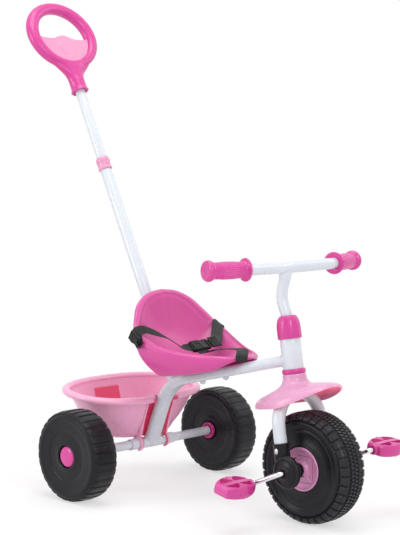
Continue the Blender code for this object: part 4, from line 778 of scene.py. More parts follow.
frameSizes = {"tubeWidth": 0.038, "tubeHeight": 0.021, "slope": math.radians(13.7),
              "lean": math.radians(22.0),
              "bend": 0.11, "corner": (0.054, 0.0, 0.2257), "axle": 0.0095, "axleWall": 0.0015,
              "sleeve": 0.0118, "sleeveHalf": 0.062, "axleHalf": 0.1714, "head": 0.02, "bead": 0.0019,
              "gap": 0.0004, "step": 0.006}
tubeCorner = Vector(frameSizes["corner"])
slope = frameSizes["slope"]
tubeUp = Vector((-math.sin(slope), 0.0, math.cos(slope)))  # square to the sloping run


def ovalOutline(width, height, count=64):  # straight sides with half-round ends
    flat = (width - height) / 2.0
    return [(math.copysign(flat, c) + height / 2.0 * c, height / 2.0 * q) for _, c, q in around(count, 0.5)]


def weldLine(near, onward, way, centre, axis, radius, outline):  # where a tube's sides run on to a round tube
    rim, sides = [], []
    for u, v in outline:
        start = near + yAxis * u + onward.cross(yAxis) * v
        gap = start - centre
        flat, ray = gap - axis * gap.dot(axis), way - axis * way.dot(axis)
        a, b, c = ray.dot(ray), flat.dot(ray), flat.dot(flat) - (radius + frameSizes["gap"]) ** 2
        rim.append(start + way * ((-b - math.sqrt(max(b * b - a * c, 0.0))) / a))
        sides.append((start - near).normalized())
    return bead(rim, frameSizes["bead"], sides)


def makeMainTube():
    s = frameSizes
    rod, head = Vector((0.0, 0.0, axlePlace.z)), steerPlace - Vector((axlePlace.x, 0.0, 0.0))
    run = Vector((math.cos(s["slope"]), 0.0, math.sin(s["slope"])))
    ahead = Vector((steerUp.z, 0.0, -steerUp.x))
    joint = tubeCorner + run * ((head - tubeCorner).dot(ahead) / run.dot(ahead))
    down = Vector((math.sin(s["lean"]), 0.0, math.cos(s["lean"])))
    foot = tubeCorner - down * ((tubeCorner.z - rod.z) / math.cos(s["lean"]))
    path = evenPath(arcCorners([foot, tubeCorner, joint - run * s["step"]], [s["bend"]], 40), s["step"])
    outline = ovalOutline(s["tubeWidth"], s["tubeHeight"])
    sleeve = pipe(s["axle"] + 0.0003, s["sleeve"], -s["sleeveHalf"], s["sleeveHalf"], 64, "Y", 0.0007)
    shapes = [loftRings(sweptRings(path, outline, yAxis)), placed(sleeve, Matrix.Translation(rod))]
    onward, downward = (path[3] - path[2]).normalized(), (path[0] - path[3]).normalized()
    shapes.append(weldLine(path[2], onward, downward, rod, yAxis, s["sleeve"], outline))
    shapes.append(weldLine(path[-4], run, run, head, steerUp, s["head"], outline))
    makePiece("frame_tube", shapes, "whitePaint", "frame", atAxle, "main_tube")
    tube = pipe(s["axle"] - s["axleWall"], s["axle"], -s["axleHalf"], s["axleHalf"], 64, "Y", 0.0004)
    makePiece("axle_tube", tube, "whitePaint", "frame", atAxle @ Matrix.Translation(rod), "rear_axle_tube")


screwSizes = {"head": (0.0038, 0.0026, 0.0008), "offset": 0.029, "turn": math.radians(50.0)}


def screwHead(radius, height, slot):  # a domed head with a crossed drive
    dome = [(0.0001, -0.001), (radius, -0.001), (radius, height * 0.35), (radius * 0.86, height * 0.72),
            (radius * 0.55, height * 0.94), (0.0001, height)]
    reach, half, low, high = radius * 0.62, slot / 2.0, height * 0.45, height * 2.0
    bars = [boxShape((-x, -y, low), (x, y, high)) for x, y in ((reach, half), (half, reach))]
    return carved(turned(dome, 40, "Z", False, 0.0006), bars)


def makeFrameScrews():
    s = screwSizes
    out = Vector((math.sin(s["turn"]), 0.0, math.cos(s["turn"])))
    for side, y in (("right", -s["offset"]), ("left", s["offset"])):
        place = Vector((0.0, y, axlePlace.z)) + out * (frameSizes["sleeve"] + 0.0003)
        makePiece("sleeve_screw_" + side, screwHead(*s["head"]), "zincSteel", "frame",
                  atAxle @ frameMatrix(place, out), "frame_screw_" + side)


headSizes = {  # radius and height in millimetres; the dome has share, height and squareness
    "ringLow": 0.18, "capTop": 0.292, "cap": 0.023, "steerer": 0.0138,
    "barrel": (0.0178, 0.02, 0.189, 0.259),
    "ring": [(14.5, 180.1), (22.4, 180.1), (22.8, 182.2), (23, 184.5), (22.7, 187.2), (21.6, 189),
             (14.5, 189)],
    "dome": [(1, 248.5, 0), (1, 247, 0.15), (1.012, 247.6, 0.2), (1.02, 251, 0.3), (1.01, 261, 0.6),
             (0.995, 268, 1), (0.98, 273.5, 1), (0.945, 279, 1), (0.89, 283.8, 0.9), (0.815, 287.8, 0.7),
             (0.72, 290.6, 0.4), (0.62, 292, 0), (0.575, 291.2, 0), (0.57, 286, 0)],
    "under": [(14.5, 282), (14.5, 263), (20.3, 263), (20.3, 248.5)]}


def makeHead():
    s = headSizes
    barrel = pipe(*s["barrel"], 96, "Z", 0.0004)
    makePiece("head_barrel", barrel, "whitePaint", "frame", atSteer, "head_tube")
    ring = turned(mm(s["ring"]), 96, "Z", True, 0.0009)
    makePiece("head_collar", ring, "magentaPlastic", "frame", atSteer, "head_ring")
    rings = []  # a dome whose plan is a soft square, with a faint ridge at the front
    for share, height, square in s["dome"]:
        ring = []
        for turn, c, q in around(128):
            soft = (abs(c) ** 3.2 + abs(q) ** 3.2) ** (-1.0 / 3.2)
            ridge = 0.0007 * square * math.exp(-((abs(turn - math.pi) - math.pi) / 0.11) ** 2)
            r = s["cap"] * share * (1.0 + (soft - 1.0) * 0.22 * square) * 0.985 + ridge
            ring.append(Vector((r * c, r * q, height / 1000.0)))
        rings.append(ring)
    rings += [circlePoints(radius, height, 128) for radius, height in mm(s["under"])]
    dome = loftRings(rings, closed=True)
    makePiece("head_dome", dome, "magentaPlastic", "frame", atSteer, "head_cap", 50.0)


makeMainTube()
makeFrameScrews()
makeHead()
print("frame built")


seatSizes = {  # the lines in millimetres, from the rear axle; the pan's has x and z
    "rim": [(22, 0, 417.5), (27.5, 42, 412.5), (37.5, 77.5, 397), (53, 100, 374.5), (75.3, 120.5, 346),
            (112, 117, 326.5), (155, 104.5, 310.5), (212, 73.5, 303), (262, 43, 303), (293, 0, 302.5)],
    "hem": [(86.5, 0, 262), (87.5, 34, 259), (91.5, 60, 255.5), (104, 79, 253), (128, 86.5, 253.5),
            (160, 82, 258), (196, 70, 264.5), (238, 53, 275), (268, 36, 292.5), (293, 0, 298.5)],
    "pan": [(34, 405), (40, 375), (52, 340), (68, 312), (88, 293.5), (115, 284), (150, 281), (200, 287),
            (250, 295.5), (293, 302)],
    "wall": 0.003, "border": 0.0225, "lift": 0.0026, "reach": 0.0095, "bulge": 0.023, "share": 0.235,
    "edge": 0.016, "boltSpots": (0.15, 0.215), "bolt": 0.0067, "boss": 0.013}
panCurve = smoothPath(mm(seatSizes["pan"]))


def panHeight(x):
    if x <= panCurve[0].x:
        return panCurve[0].y
    for a, b in zip(panCurve, panCurve[1:]):
        if x <= b.x:
            return a.y + (b.y - a.y) * (x - a.x) / (b.x - a.x)
    return panCurve[-1].y


def seatProfile(top, low):  # one line from the hem, over the rim, to the middle of the pan
    s = seatSizes
    out = Vector((top.x - 0.15, top.y * 1.3, 0.0)).normalized()
    wing = ramp(top.x, 0.066, 0.116) * ramp(top.x, 0.275, 0.225)
    wing = wing * wing * (3.0 - 2.0 * wing)
    bulge = min(s["bulge"], s["share"] * (top.z - low.z))
    skirt = []
    for i in range(49):
        t = i / 48
        wave = math.sin(math.pi * t ** 0.84)
        plain = wave * (1.0 - 0.25 * t)
        full = 0.98 * wave ** 0.6 if 0.0 < t < 1.0 else 0.0
        skirt.append(low.lerp(top, t) + out * bulge * (plain + (full - plain) * wing))
    middle = Vector((min(max(top.x, 0.08), 0.24), 0.0, top.z))
    inward = (middle - top).normalized()
    edge = top + inward * s["edge"] * min((middle - top).length / 0.035, 1.0) - zAxis * 0.005
    spine = min(max(edge.x, 0.062), 0.255)
    rise = max(edge.z - panHeight(edge.x), 0.0)
    marks = [top, edge]
    for t in (0.18, 0.32, 0.46, 0.63, 0.8, 1.0):
        x = edge.x + (spine - edge.x) * t
        marks.append(Vector((x, edge.y * (1.0 - t), panHeight(x) + rise * (1.0 - t) ** 2.4)))
    pan = smoothPath(marks)
    skirtLength, panLength = pathLength(skirt), pathLength(pan)
    near = min(s["reach"] * (1.0 - 0.45 * wing), skirtLength * 0.42)
    far = min(s["reach"] * (1.0 - 0.6 * wing), panLength * 0.25)
    up = between(skirt, 0.0, skirtLength - near, 16)
    on = between(pan, far, panLength, 46)
    bisector = ((top - up[-1]).normalized() + (top - on[0]).normalized()).normalized()
    corner = top + bisector * 0.002 * near / s["reach"]
    bend = []
    for i in range(1, 9):
        t = i / 9
        bend.append((1 - t) ** 2 * up[-1] + 2 * t * (1 - t) * corner + t ** 2 * on[0])
    arcs = [0.0] * (len(up) + 4)
    arcs += [far * i / 4 for i in range(1, 5)]
    arcs += [far + (panLength - far) * i / 46 for i in range(47)]
    return up + bend + on, arcs, min(panLength / 0.06, 1.0), s["border"] * (1.0 - 0.66 * wing)


def makeSeat():
    s = seatSizes
    tops, lows = smoothPath(mm(s["rim"]), 11), smoothPath(mm(s["hem"]), 11)
    tops += [Vector((p.x, -p.y, p.z)) for p in reversed(tops[1:-1])]
    lows += [Vector((p.x, -p.y, p.z)) for p in reversed(lows[1:-1])]
    profiles = [seatProfile(top, low) for top, low in zip(tops, lows)]
    count = len(profiles[0][0])
    bm = loftRings([[profile[0][k] for profile in profiles] for k in range(count)], caps=False)
    facedUp(bm, (count - 12) * len(profiles) + 50)
    moves = []  # a raised border inside the rim, with a groove where it meets the pan
    for k in range(count):
        for i, (_, arcs, share, edge) in enumerate(profiles):
            far = arcs[k]
            lift = softRamp(far, 0.0, edge * 0.3) * (1.0 - softRamp(far, edge * 0.62, edge * 0.92))
            lift -= 0.6 * math.exp(-((far - edge * 0.93) / 0.0017) ** 2)
            moves.append((bm.verts[k * len(profiles) + i], s["lift"] * share * lift))
    for vertex, lift in moves:
        vertex.co += vertex.normal * lift
    bmesh.ops.remove_doubles(bm, verts=bm.verts, dist=0.00012)
    seat = modified(bm, smooth={"factor": 0.5, "iterations": 6},
                    solidify={"thickness": s["wall"], "offset": -1.0})
    bosses, pockets = [], []
    for x in s["boltSpots"]:
        centre, tall = boltPlace(x)
        place = frameMatrix(centre, tubeUp)
        pockets.append(placed(turned([(s["bolt"], tall - 0.0024), (s["bolt"], tall + 0.02)], 40), place))
        bosses.append(placed(turned([(s["boss"], 0.0109), (s["boss"], tall - 0.0026)], 40), place))
    seat = carved(seat, pockets)
    tree = BVHTree.FromBMesh(seat)
    makePiece("seat_shell", [seat, *bosses], "seatPlastic", "frame", atAxle, "seat", 44.0)
    return tree


def boltPlace(x):  # a bolt's middle in the tube, and the pan's height above it along the bolt
    centre = tubeCorner + Vector((1.0, 0.0, math.tan(frameSizes["slope"]))) * (x - tubeCorner.x)
    return centre, (panHeight(x) - centre.z) * math.cos(frameSizes["slope"])


seatSurface = makeSeat()
seatScrewSizes = {"head": (0.0064, 0.0028, 0.0012), "shank": 0.0029, "threads": 14, "thread": 0.00085,
                  "threadDepth": 0.0004, "tip": 0.0007, "nut": 0.0062, "nutHeight": 0.0048, "past": 0.002}


def makeSeatScrews():  # the screws through the pan and the tube, with their nuts
    s = seatScrewSizes
    nut, core = s["nut"], 0.0001
    top = -frameSizes["tubeHeight"] / 2.0 - 0.0002
    low = top - s["nutHeight"]
    for number, x in enumerate(seatSizes["boltSpots"], start=1):
        centre, tall = boltPlace(x)
        place = atAxle @ frameMatrix(centre, tubeUp)
        hexagon = turned([(core, low), (nut, low), (nut, top - 0.0008), (core, top - 0.0008)], 6)
        chamfer = turned([(core, low - 0.0002), (nut * 0.82, low - 0.0002), (nut * 1.01, low + 0.0011),
                          (nut * 1.01, top), (core, top)], 48)
        body = rounded(carved(hexagon, [chamfer], "INTERSECT"), 0.0002, 2)
        flange = turned([(core, top - 0.001), (nut * 0.97, top - 0.001), (nut * 1.02, top - 0.0004),
                         (nut * 1.02, top), (core, top)], 48)
        makePiece("seat_hexnut_%d" % number, [body, flange], "zincSteel", "frame", place,
                  "seat_nut_%d" % number, 30.0)
        head = tall - 0.0023
        outline = [(core, head + 0.0003), (s["shank"], head + 0.0003)]
        for k in range(s["threads"]):  # the thread, from where it leaves the tube to the rounded tip
            outline.append((s["shank"] - s["threadDepth"] * (k % 2), low + 0.004 - k * s["thread"] / 2.0))
        outline += [(s["shank"] - s["tip"], low - s["past"]), (core, low - s["past"])]
        cap = placed(screwHead(*s["head"]), moved(0.0, 0.0, head + 0.0009))
        makePiece("seat_screw_%d" % number, [turned(outline, 32), cap], "zincSteel", "frame", place,
                  "seat_bolt_%d" % number, 34.0)


makeSeatScrews()


def strapOutline(width, thickness, columns=14):
    upper = []
    for i in range(columns + 1):
        u = -1.0 + 2.0 * i / columns
        upper.append((u * width / 2.0, thickness / 2.0 * (1.0 - 0.55 * abs(u) ** 9)))
    return [(u, -v) for u, v in reversed(upper)] + upper


def hugging(path, touching, clear=0.0019):  # the first points lie on the seat, the rest stay clear of it
    laid = []
    for i, point in enumerate(path):
        spot, normal, _, _ = seatSurface.find_nearest(point)
        share = ramp(touching - i, 0.0, 10.0)
        if (point - spot).dot(normal) < clear:
            share = 1.0
        laid.append(point.lerp(spot + normal * clear, share))
    for _ in range(3):
        laid = [laid[0]] + [(a + b * 2.0 + c) / 4.0 for a, b, c in zip(laid, laid[1:], laid[2:])] + [laid[-1]]
    return laid


def strapShape(route, width=0.024, thickness=0.0016, perSpan=12, touching=0):
    path = smoothPath([place for place, _ in route], perSpan)
    if touching:
        path = hugging(path, touching)
    outline = strapOutline(width, thickness)
    rings = sweptRings(path, outline, smoothPath([side for _, side in route], perSpan))
    bm = loftRings(rings)
    layer = bm.loops.layers.uv.new("strapMap")
    lengths = [0.0]
    for a, b in zip(path, path[1:]):
        lengths.append(lengths[-1] + (b - a).length)
    bm.verts.index_update()
    for face in bm.faces:
        for loop in face.loops:
            row, column = divmod(loop.vert.index, len(outline))
            if row < len(rings):
                loop[layer].uv = (outline[column][0], lengths[row])
            else:  # the middle of the first cap, then that of the last
                loop[layer].uv = (0.0, lengths[0] if column == 0 else lengths[-1])
    return bm


def lineCopies(tree, given, number, spots, copies):
    middle = times(tree, maths(tree, "SUBTRACT", given["Count"], 1.0), 0.5)
    along = times(tree, maths(tree, "SUBTRACT", number, middle), given["Step"])
    joined(tree, combined(tree, along, 0.0, 0.0), spots["Position"])


sewnRow = copiesTree("sewnRow", {"Count": 8, "Step": 0.0026}, lineCopies)  # short threads, one step apart


def flatPlace(place, side, along):  # local X across a strap, Y along it, Z out of it
    x = Vector(side).normalized()
    y = Vector(along)
    y = (y - x * y.dot(x)).normalized()
    return Matrix.Translation(Vector(place)) @ Matrix((x, y, x.cross(y))).transposed().to_4x4()


def sewnBox(place):  # two rows of stitches across a strap
    rows = []
    for shift in (-0.0035, 0.0035):
        thread = turned(mm([(0.02, -0.9), (0.28, -0.6), (0.28, 0.6), (0.02, 0.9)]), 8, "Y")
        placed(thread, rotated(90.0, "Z"))
        row = meshShape("stitches", thread, "blackWebbing", sewnRow, Count=8, Step=0.0026)
        rows.append(placed(row, place @ moved(0.0, shift, 0.00085)))
    return rows


def slider(place):  # a flat adjuster with two slots
    slots = [boxShape((-0.0124, low, -0.01), (0.0124, low + 0.005, 0.01)) for low in (-0.0072, 0.0022)]
    return placed(rounded(carved(evenBox(0.015, 0.01, 0.0016), slots), 0.0008), place)


rimSide = (0.86, 0.0, -0.5)
beltSizes = {  # places in millimetres, each with the direction of the strap's width
    "along": (0.25, 0.962, 0.11), "middle": (0.158, -0.016, 0.3135), "end": 0.022, "tip": math.radians(30.0),
    "right": [((98, -130, 316), rimSide), ((89.5, -130, 334), rimSide), ((85, -120, 345), rimSide),
              ((86, -104, 347.5), (0.8, -0.1, -0.55)), ((97, -84, 340), (0.78, -0.38, -0.42)),
              ((114, -65, 329), (0.84, -0.52, -0.06)), ((130, -60.2, 321.2), (0.85, -0.5, -0.04))],
    "left": [((85, 128.5, 318), rimSide), ((81.5, 129, 334), rimSide), ((84, 120, 345), rimSide),
             ((92, 106, 344), (0.86, 0.2, -0.35)), ((113, 83, 336.5), (0.82, 0.52, -0.15)),
             ((139, 53.5, 327), (0.8, 0.58, -0.05))],
    "crotch": [((205, -18, 310), (0.15, 1.0, 0.05)), ((217, -12, 311.8), (0.1, 1.0, 0.0)),
               ((238, -3, 313.5), (0.2, 0.95, 0.0)), ((258, 0.5, 314), (0.5, 0.8, 0.05)),
               ((274, -13, 312), (0.75, 0.6, 0.0)), ((286, -28, 306.8), (0.8, 0.55, 0.0)),
               ((290, -33, 296), (0.8, 0.55, 0.0))],
    "doubled": [((98, -127.5, 312), rimSide), ((92, -135, 326), rimSide), ((89.3, -132.5, 341), rimSide)]}


def makeBelt():
    b = beltSizes
    routes = {name: [(Vector(place) / 1000.0, side) for place, side in b[name]]
              for name in ("right", "left", "crotch", "doubled")}
    along, middle, end = Vector(b["along"]).normalized(), Vector(b["middle"]), b["end"]
    level = along.cross(zAxis).normalized()
    upright = level.cross(along)
    c, q = math.cos(b["tip"]), math.sin(b["tip"])
    across, up = level * c - upright * q, upright * c + level * q
    for name, way, side in (("right", -along, level * 0.97 - upright * 0.24), ("left", along, across)):
        for reach, rise, facing in ((0.018, 0.004, side), (0.004, 0.0005, across), (-0.004, 0.0, across)):
            routes[name].append((middle + way * (end + reach) + up * rise, facing))
    crotch = [(middle + across * 0.0125, along), (middle + across * 0.024, along)] + routes["crotch"]
    sewn = flatPlace((0.0872, -0.1035, 0.3538), (0.8, -0.1, -0.55), (0.1, 1.0, -0.1))
    shapes = [strapShape(routes["right"], touching=36), strapShape(routes["doubled"], 0.0225), *sewnBox(sewn)]
    makePiece("strap_right", shapes, "blackWebbing", "frame", atAxle, "belt_right")
    sewn = flatPlace((0.1025, 0.095, 0.3408), (0.84, 0.4, -0.25), (0.55, -0.8, -0.25))
    shapes = [strapShape(routes["left"], touching=34), *sewnBox(sewn)]
    makePiece("strap_left", shapes, "blackWebbing", "frame", atAxle, "belt_left")
    makePiece("strap_crotch", strapShape(crotch, touching=1), "blackWebbing", "frame", atAxle, "belt_crotch")
    outside = flatPlace((0.0908, -0.1335, 0.332), rimSide, (-0.3, 0.0, 1.0))
    onLap = flatPlace(middle + along * (end + 0.013) + up * 0.003, across, along)
    makePiece("strap_sliders", [slider(outside), slider(onLap)], "bucklePlastic", "frame", atAxle)
    makeBuckle(atAxle @ Matrix.Translation(middle) @ Matrix((along, -across, up)).transposed().to_4x4())


buckleSizes = {  # half of each plan in millimetres, with x along the belt
    "socket": [(-20.5, -12), (-12, -14.2), (0, -13.8), (4.6, -11.8)], "socketHalf": 0.0042,
    "tongue": [(5, -11.2), (10, -13.6), (20.5, -12.8)], "tongueHalf": 0.0036,
    "prong": [(8, 10, 0), (3, 12.8, 0), (-3, 13.9, 0), (-7, 11.8, 0)]}


def plateShape(half, thick):  # a flat plan mirrored about x and given a thickness
    plan = mm(half + [(x, -y) for x, y in half[::-1]])
    return loftRings([[Vector((p.x, p.y, z)) for p in plan] for z in (-thick, thick)])


def makeBuckle(place):
    s = buckleSizes
    cuts = [boxShape((-0.0186, -0.0104, -0.01), (-0.016, 0.0104, 0.01))]
    cuts += [placed(evenBox(0.00525, 0.0026, 0.0026), moved(-0.00225, y, 0.0)) for y in (-0.0128, 0.0128)]
    cuts.append(placed(turned([(0.0042, 0.0034), (0.005, 0.006)], 40), moved(-0.006, 0.0, 0.0)))
    shapes = [rounded(carved(plateShape(s["socket"], s["socketHalf"]), cuts), 0.0009)]
    for x in (0.0005, 0.0022):
        ridge = rounded(boxShape((-0.0005, -0.006, 0.0039), (0.0005, 0.006, 0.0048)), 0.0003, 2)
        shapes.append(placed(ridge, moved(x, 0.0, 0.0)))
    makePiece("clip_socket", shapes, "bucklePlastic", "frame", place, "buckle_socket")
    slot = boxShape((0.0158, -0.0106, -0.01), (0.0186, 0.0106, 0.01))
    shapes = [rounded(carved(plateShape(s["tongue"], s["tongueHalf"]), [slot]), 0.0009)]
    for sign in (-1.0, 1.0):
        line = smoothPath([Vector((p.x, sign * p.y, p.z)) for p in mm(s["prong"])])
        shapes.append(loftRings(sweptRings(line, ovalOutline(0.0044, 0.0026, 24), zAxis)))
    makePiece("clip_tongue", shapes, "bucklePlastic", "frame", place, "buckle_tongue")


makeBelt()
print("seat and belt built")


forkSizes = {"tube": 0.0125, "half": 0.062, "foot": 0.03, "straight": 0.058, "bend": 0.082, "weld": 0.0017,
             "bore": 0.0115, "drop": 0.024}


def makeFork():
    s = forkSizes
    half, bend, radius = s["half"], s["bend"], headSizes["steerer"]
    right = [Vector((0.0, -half, s["foot"])), Vector((0.0, -half, s["straight"]))]
    legs = list(right)
    for i in range(61):
        turn = math.pi - math.pi * i / 60
        legs.append(Vector((0.0, half * math.cos(turn), bend + half * math.sin(turn))))
    legs += [Vector((0.0, -point.y, point.z)) for point in reversed(right)]
    arch = loftRings(sweptRings(legs, roundOutline(s["tube"], 56), (1.0, 0.0, 0.0)))
    steerer = pipe(s["bore"], radius, bend + half, headSizes["capTop"] - s["drop"])
    rim = []
    for _, c, q in around(72):  # the weld where the steerer stands on the arch
        x, y = radius * c, radius * q
        over = math.sqrt(max(s["tube"] ** 2 - x * x, 0.0))
        rim.append(Vector((x, y, bend + math.sqrt(half ** 2 - y * y) + over)))
    weld = bead(rim, s["weld"], [Vector((point.x, point.y, 0.0)).normalized() for point in rim])
    makePiece("fork_arch", [arch, steerer, weld], "whitePaint", "steering", atSteer, "fork")


fenderSizes = {  # reach ahead, reach sideways and height in millimetres, with raised and narrowed ends
    "levels": [(14, 14, 0), (20.5, 20.5, 0), (22.6, 22.6, -2.5), (23, 23.8, -10), (25, 31.5, -19),
               (32, 46.5, -27), (50, 59.2, -33.5), (75, 66.5, -40), (90, 69.6, -46), (95.8, 71, -51),
               (97.6, 71.8, -56), (98, 72.2, -60)],
    "raise": (0, 0, 0, 0, 0.001, 0.006, 0.013, 0.018, 0.0215, 0.024, 0.0265, 0.0295),
    "narrow": (0, 0, 0, 0, 0, 0, 0.05, 0.13, 0.24, 0.26, 0.26, 0.26), "wall": 0.0036, "edge": 0.0016,
    "webs": (35.0, 145.0, 215.0, 325.0), "web": [(20.5, -6), (23.5, -23.5), (29, -35), (20.5, -33)]}


def makeFender():
    s = fenderSizes
    top = headSizes["ringLow"] - 0.0003
    sizes = smoothPath(mm(s["levels"], 0.0, 0.0, top), 9)
    leans = smoothPath([(ahead, narrow, 0.0) for ahead, narrow in zip(s["raise"], s["narrow"])], 9)
    rings = []
    for size, lean in zip(sizes, leans):
        ring = []
        squarish = 0.35 * ramp(size.x, 0.024, 0.034) * ramp(size.x, 0.07, 0.04)
        for _, c, q in around(176):
            narrow = 1.0 - lean.y * max(-c, 0.0) ** 2
            fuller = 1.0 + squarish * ((abs(c) ** 2.6 + abs(q) ** 2.6) ** (-1.0 / 2.6) - 1.0)
            ring.append(Vector((size.x * c * fuller, size.y * q * narrow * fuller,
                                size.z + lean.x * max(c, 0.0) ** 1.5)))
        rings.append(ring)
    sheet = loftRings(rings, caps=False)
    facedUp(sheet, 176 * 60)
    shell = rounded(modified(sheet, solidify={"thickness": s["wall"], "offset": -1.0}), s["edge"], 4, 55.0)
    shapes = [shell, pipe(0.0141, 0.0166, top - 0.001, 0.1568)]
    for angle in s["webs"]:  # stiffening webs under the skirt
        web = loftRings([[Vector((r, w, z)) for r, z in mm(s["web"], 0.0, top)] for w in (-0.0009, 0.0009)])
        shapes.append(placed(web, rotated(angle, "Z")))
    makePiece("fender_skirt", shapes, "fenderPlastic", "steering", atSteer, "fender", 50.0)


bracketSizes = {  # radius and side in millimetres about the wheel's axle
    "offset": 0.0175, "bore": 0.0128, "outer": 0.0156, "boss": 0.0105, "disc": 0.0315,
    "cover": [(5.3, 40), (10.5, 40), (11.1, 44), (13.5, 52), (25.5, 64), (30.3, 70), (31.5, 71.6),
              (31.5, 76.2), (30.1, 79), (26.9, 80.6), (24.5, 80.8), (23.3, 79.8), (21.9, 79.9), (20.5, 81.1),
              (18, 81.8), (14.5, 82.6), (12.1, 84.6), (10.9, 86.6), (9.5, 87.2), (6.8, 87.2), (6, 86.4),
              (5.3, 85.8)],
    "ring": [(11.2, 40.5), (12.8, 40.5), (13.3, 41.2), (13.3, 42.4), (12.8, 43.1), (11.2, 43.1)],
    "socket": [(12.8, 32), (12.8, 54), (15, 54), (15.9, 53.2), (15.9, 50.6), (15.3, 49.6), (15.3, 30),
               (15.6, 14), (14.6, 10), (0.1, 10), (0.1, 32)],
    "webs": (20.0, 75.0, 130.0, 185.0, 240.0, 295.0),
    "rivet": [(0.1, -0.6), (4.4, -0.6), (4.4, 0.4), (3.5, 1.2), (1.4, 1.7), (0.1, 1.8)], "rivetHeight": 0.04}


def makeBracket(side, sign):
    s = bracketSizes
    leg, ahead = forkSizes["half"], moved(s["offset"], 0.0, 0.0)
    shapes = [placed(turned(mm(s["cover"]), 96, "Y", True, 0.0007, 2, sign), ahead),
              placed(turned(mm(s["ring"]), 64, "Y", True, 0.0004, 2, sign), ahead),
              placed(turned(mm(s["socket"]), 72, "Z", True, 0.0006, 2), moved(0.0, sign * leg, 0.0))]
    for x in (-0.0008, 0.0008):  # the raised rib below the rivet
        rib = boxShape((x - 0.0006, -0.0009, 0.0145), (x + 0.0006, 0.0009, 0.0325))
        shapes.append(placed(rounded(rib, 0.0004, 2), moved(0.0, sign * (leg + s["outer"]), 0.0)))
    for angle in s["webs"]:  # webs behind the cover
        web = boxShape((s["boss"], -0.006, -0.0008), (s["disc"] - 0.003, 0.006, 0.0008))
        shapes.append(placed(web, moved(s["offset"], sign * 0.0655, 0.0) @ rotated(angle)))
    makePiece("leg_bracket_" + side, shapes, "blackPlastic", "steering", atSteer, "fork_bracket_" + side)
    rivet = turned(mm(s["rivet"]), 48, "Y", False, 0.0004, 3, sign)
    placed(rivet, moved(0.0, sign * (leg + s["outer"]), s["rivetHeight"]) @ scaled(1.0, 1.0, 1.28))
    makePiece("leg_rivet_" + side, rivet, "zincSteel", "steering", atSteer, "fork_rivet_" + side)


hubSizes = {  # radius and depth in millimetres from the hub's floor
    "floor": 0.02, "depth": 0.014, "square": 0.0252, "round": 0.007,
    "face": [(5.1, 0.3), (42, 0.3), (42, 13.6), (40.8, 14.6), (38.9, 14.6), (37.7, 13.8), (36.3, 10.6),
             (34.9, 10), (20, 10.4), (16.5, 11.6), (14.6, 15), (13.8, 18), (12.6, 18.6), (5.1, 18.6)]}


def squareLine(half, corner, steps=8):  # a square with rounded corners, as flat points
    points = []
    for k, (a, b) in enumerate(((1, 1), (-1, 1), (-1, -1), (1, -1))):
        for i in range(steps + 1):
            turn = math.radians(90.0 * (k + i / steps))
            points.append((a * (half - corner) + corner * math.cos(turn),
                           b * (half - corner) + corner * math.sin(turn)))
    return points


def makeHub(side, sign):
    s = hubSizes
    d = s["depth"]
    hub = turned(mm(s["face"]), 120, "Y", True, 0.0007, 3, sign)
    rings = []
    for grow, level in ((0.0013, 0.0048), (0.0013, -0.0052), (-0.0009, -0.0052), (-0.0009, 0.0048)):
        line = squareLine(s["square"] + grow, s["round"])
        rings.append([Vector((x, sign * (d + level), z)) for x, z in line])
    shapes = [carved(hub, [loftRings(rings, closed=True)])]
    for angle in (45.0, 135.0, 225.0, 315.0):
        rib = rounded(boxShape((0.0145, d - 0.0046, -0.0011), (0.03, d - 0.0016, 0.0011)), 0.0006, 2)
        placed(rib, scaled(1.0, sign, 1.0))
        shapes.append(placed(rib, rotated(angle)))
    place = atFront @ moved(0.0, sign * s["floor"], 0.0)
    makePiece("hub_insert_" + side, shapes, "hubPlastic", "front_wheel", place, "front_hub_" + side)


crankSizes = {"rod": 0.0048, "length": 0.06, "angle": 204.0, "reach": 0.0945, "spread": 0.01, "bend": 0.008,
              "pedalInner": 0.11378, "pedalLength": 0.078}


def crankEnd(sign):
    turn = math.radians(crankSizes["angle"] if sign < 0 else crankSizes["angle"] - 180.0)
    return crankSizes["length"] * math.cos(turn), crankSizes["length"] * math.sin(turn)


def makeCrank():
    s = crankSizes
    tip = s["pedalInner"] + s["pedalLength"] + 0.004
    corners = []
    for sign in (-1.0, 1.0):
        x, z = crankEnd(sign)
        pin = [Vector((x, sign * tip, z)), Vector((x, sign * (s["reach"] + s["spread"]), z)),
               Vector((0.0, sign * s["reach"], 0.0))]
        corners += pin if sign < 0 else pin[::-1]
    path = evenPath(arcCorners(corners, [s["bend"]] * 4), 0.0016)
    sides, side = [], zAxis
    for tangent in tangentsOf(path):
        side = (side - tangent * side.dot(tangent)).normalized()
        sides.append(side)
    rod = loftRings(sweptRings(path, roundOutline(s["rod"], 32), sides))
    makePiece("crank_rod", rod, "chromeSteel", "front_wheel", atFront, "crank")


pedalSizes = {  # the plan has half widths in millimetres at shares of the pedal's length
    "half": 0.029, "depth": 0.011, "tilts": {-1.0: 11.0, 1.0: 7.0}, "hump": 0.0014, "start": 0.0045,
    "length": 0.0781, "plan": [(16, 0), (19.4, 0.06), (24.6, 0.2), (28, 0.36), (29, 0.5)],
    "levels": [(-11, 4), (-10.2, 1.9), (-8.4, 0.6), (-5.4, 0), (0, -0.3), (5.4, 0), (8.4, 0.6), (10.2, 1.9),
               (11, 4)],
    "pockets": ((0.1, 0.47), (0.53, 0.9)), "pocket": (0.0062, 0.0212, 0.0046, 0.016),
    "cavity": [(9.2, 75.2), (9.2, 81.2)],
    "collar": [(5.4, -0.6), (8.8, -0.6), (10, 0.8), (10.4, 6), (5.4, 6)],
    "cap": [(4.9, 77.2), (8.3, 77.2), (8.3, 78), (7.2, 80), (4.9, 80.4)]}


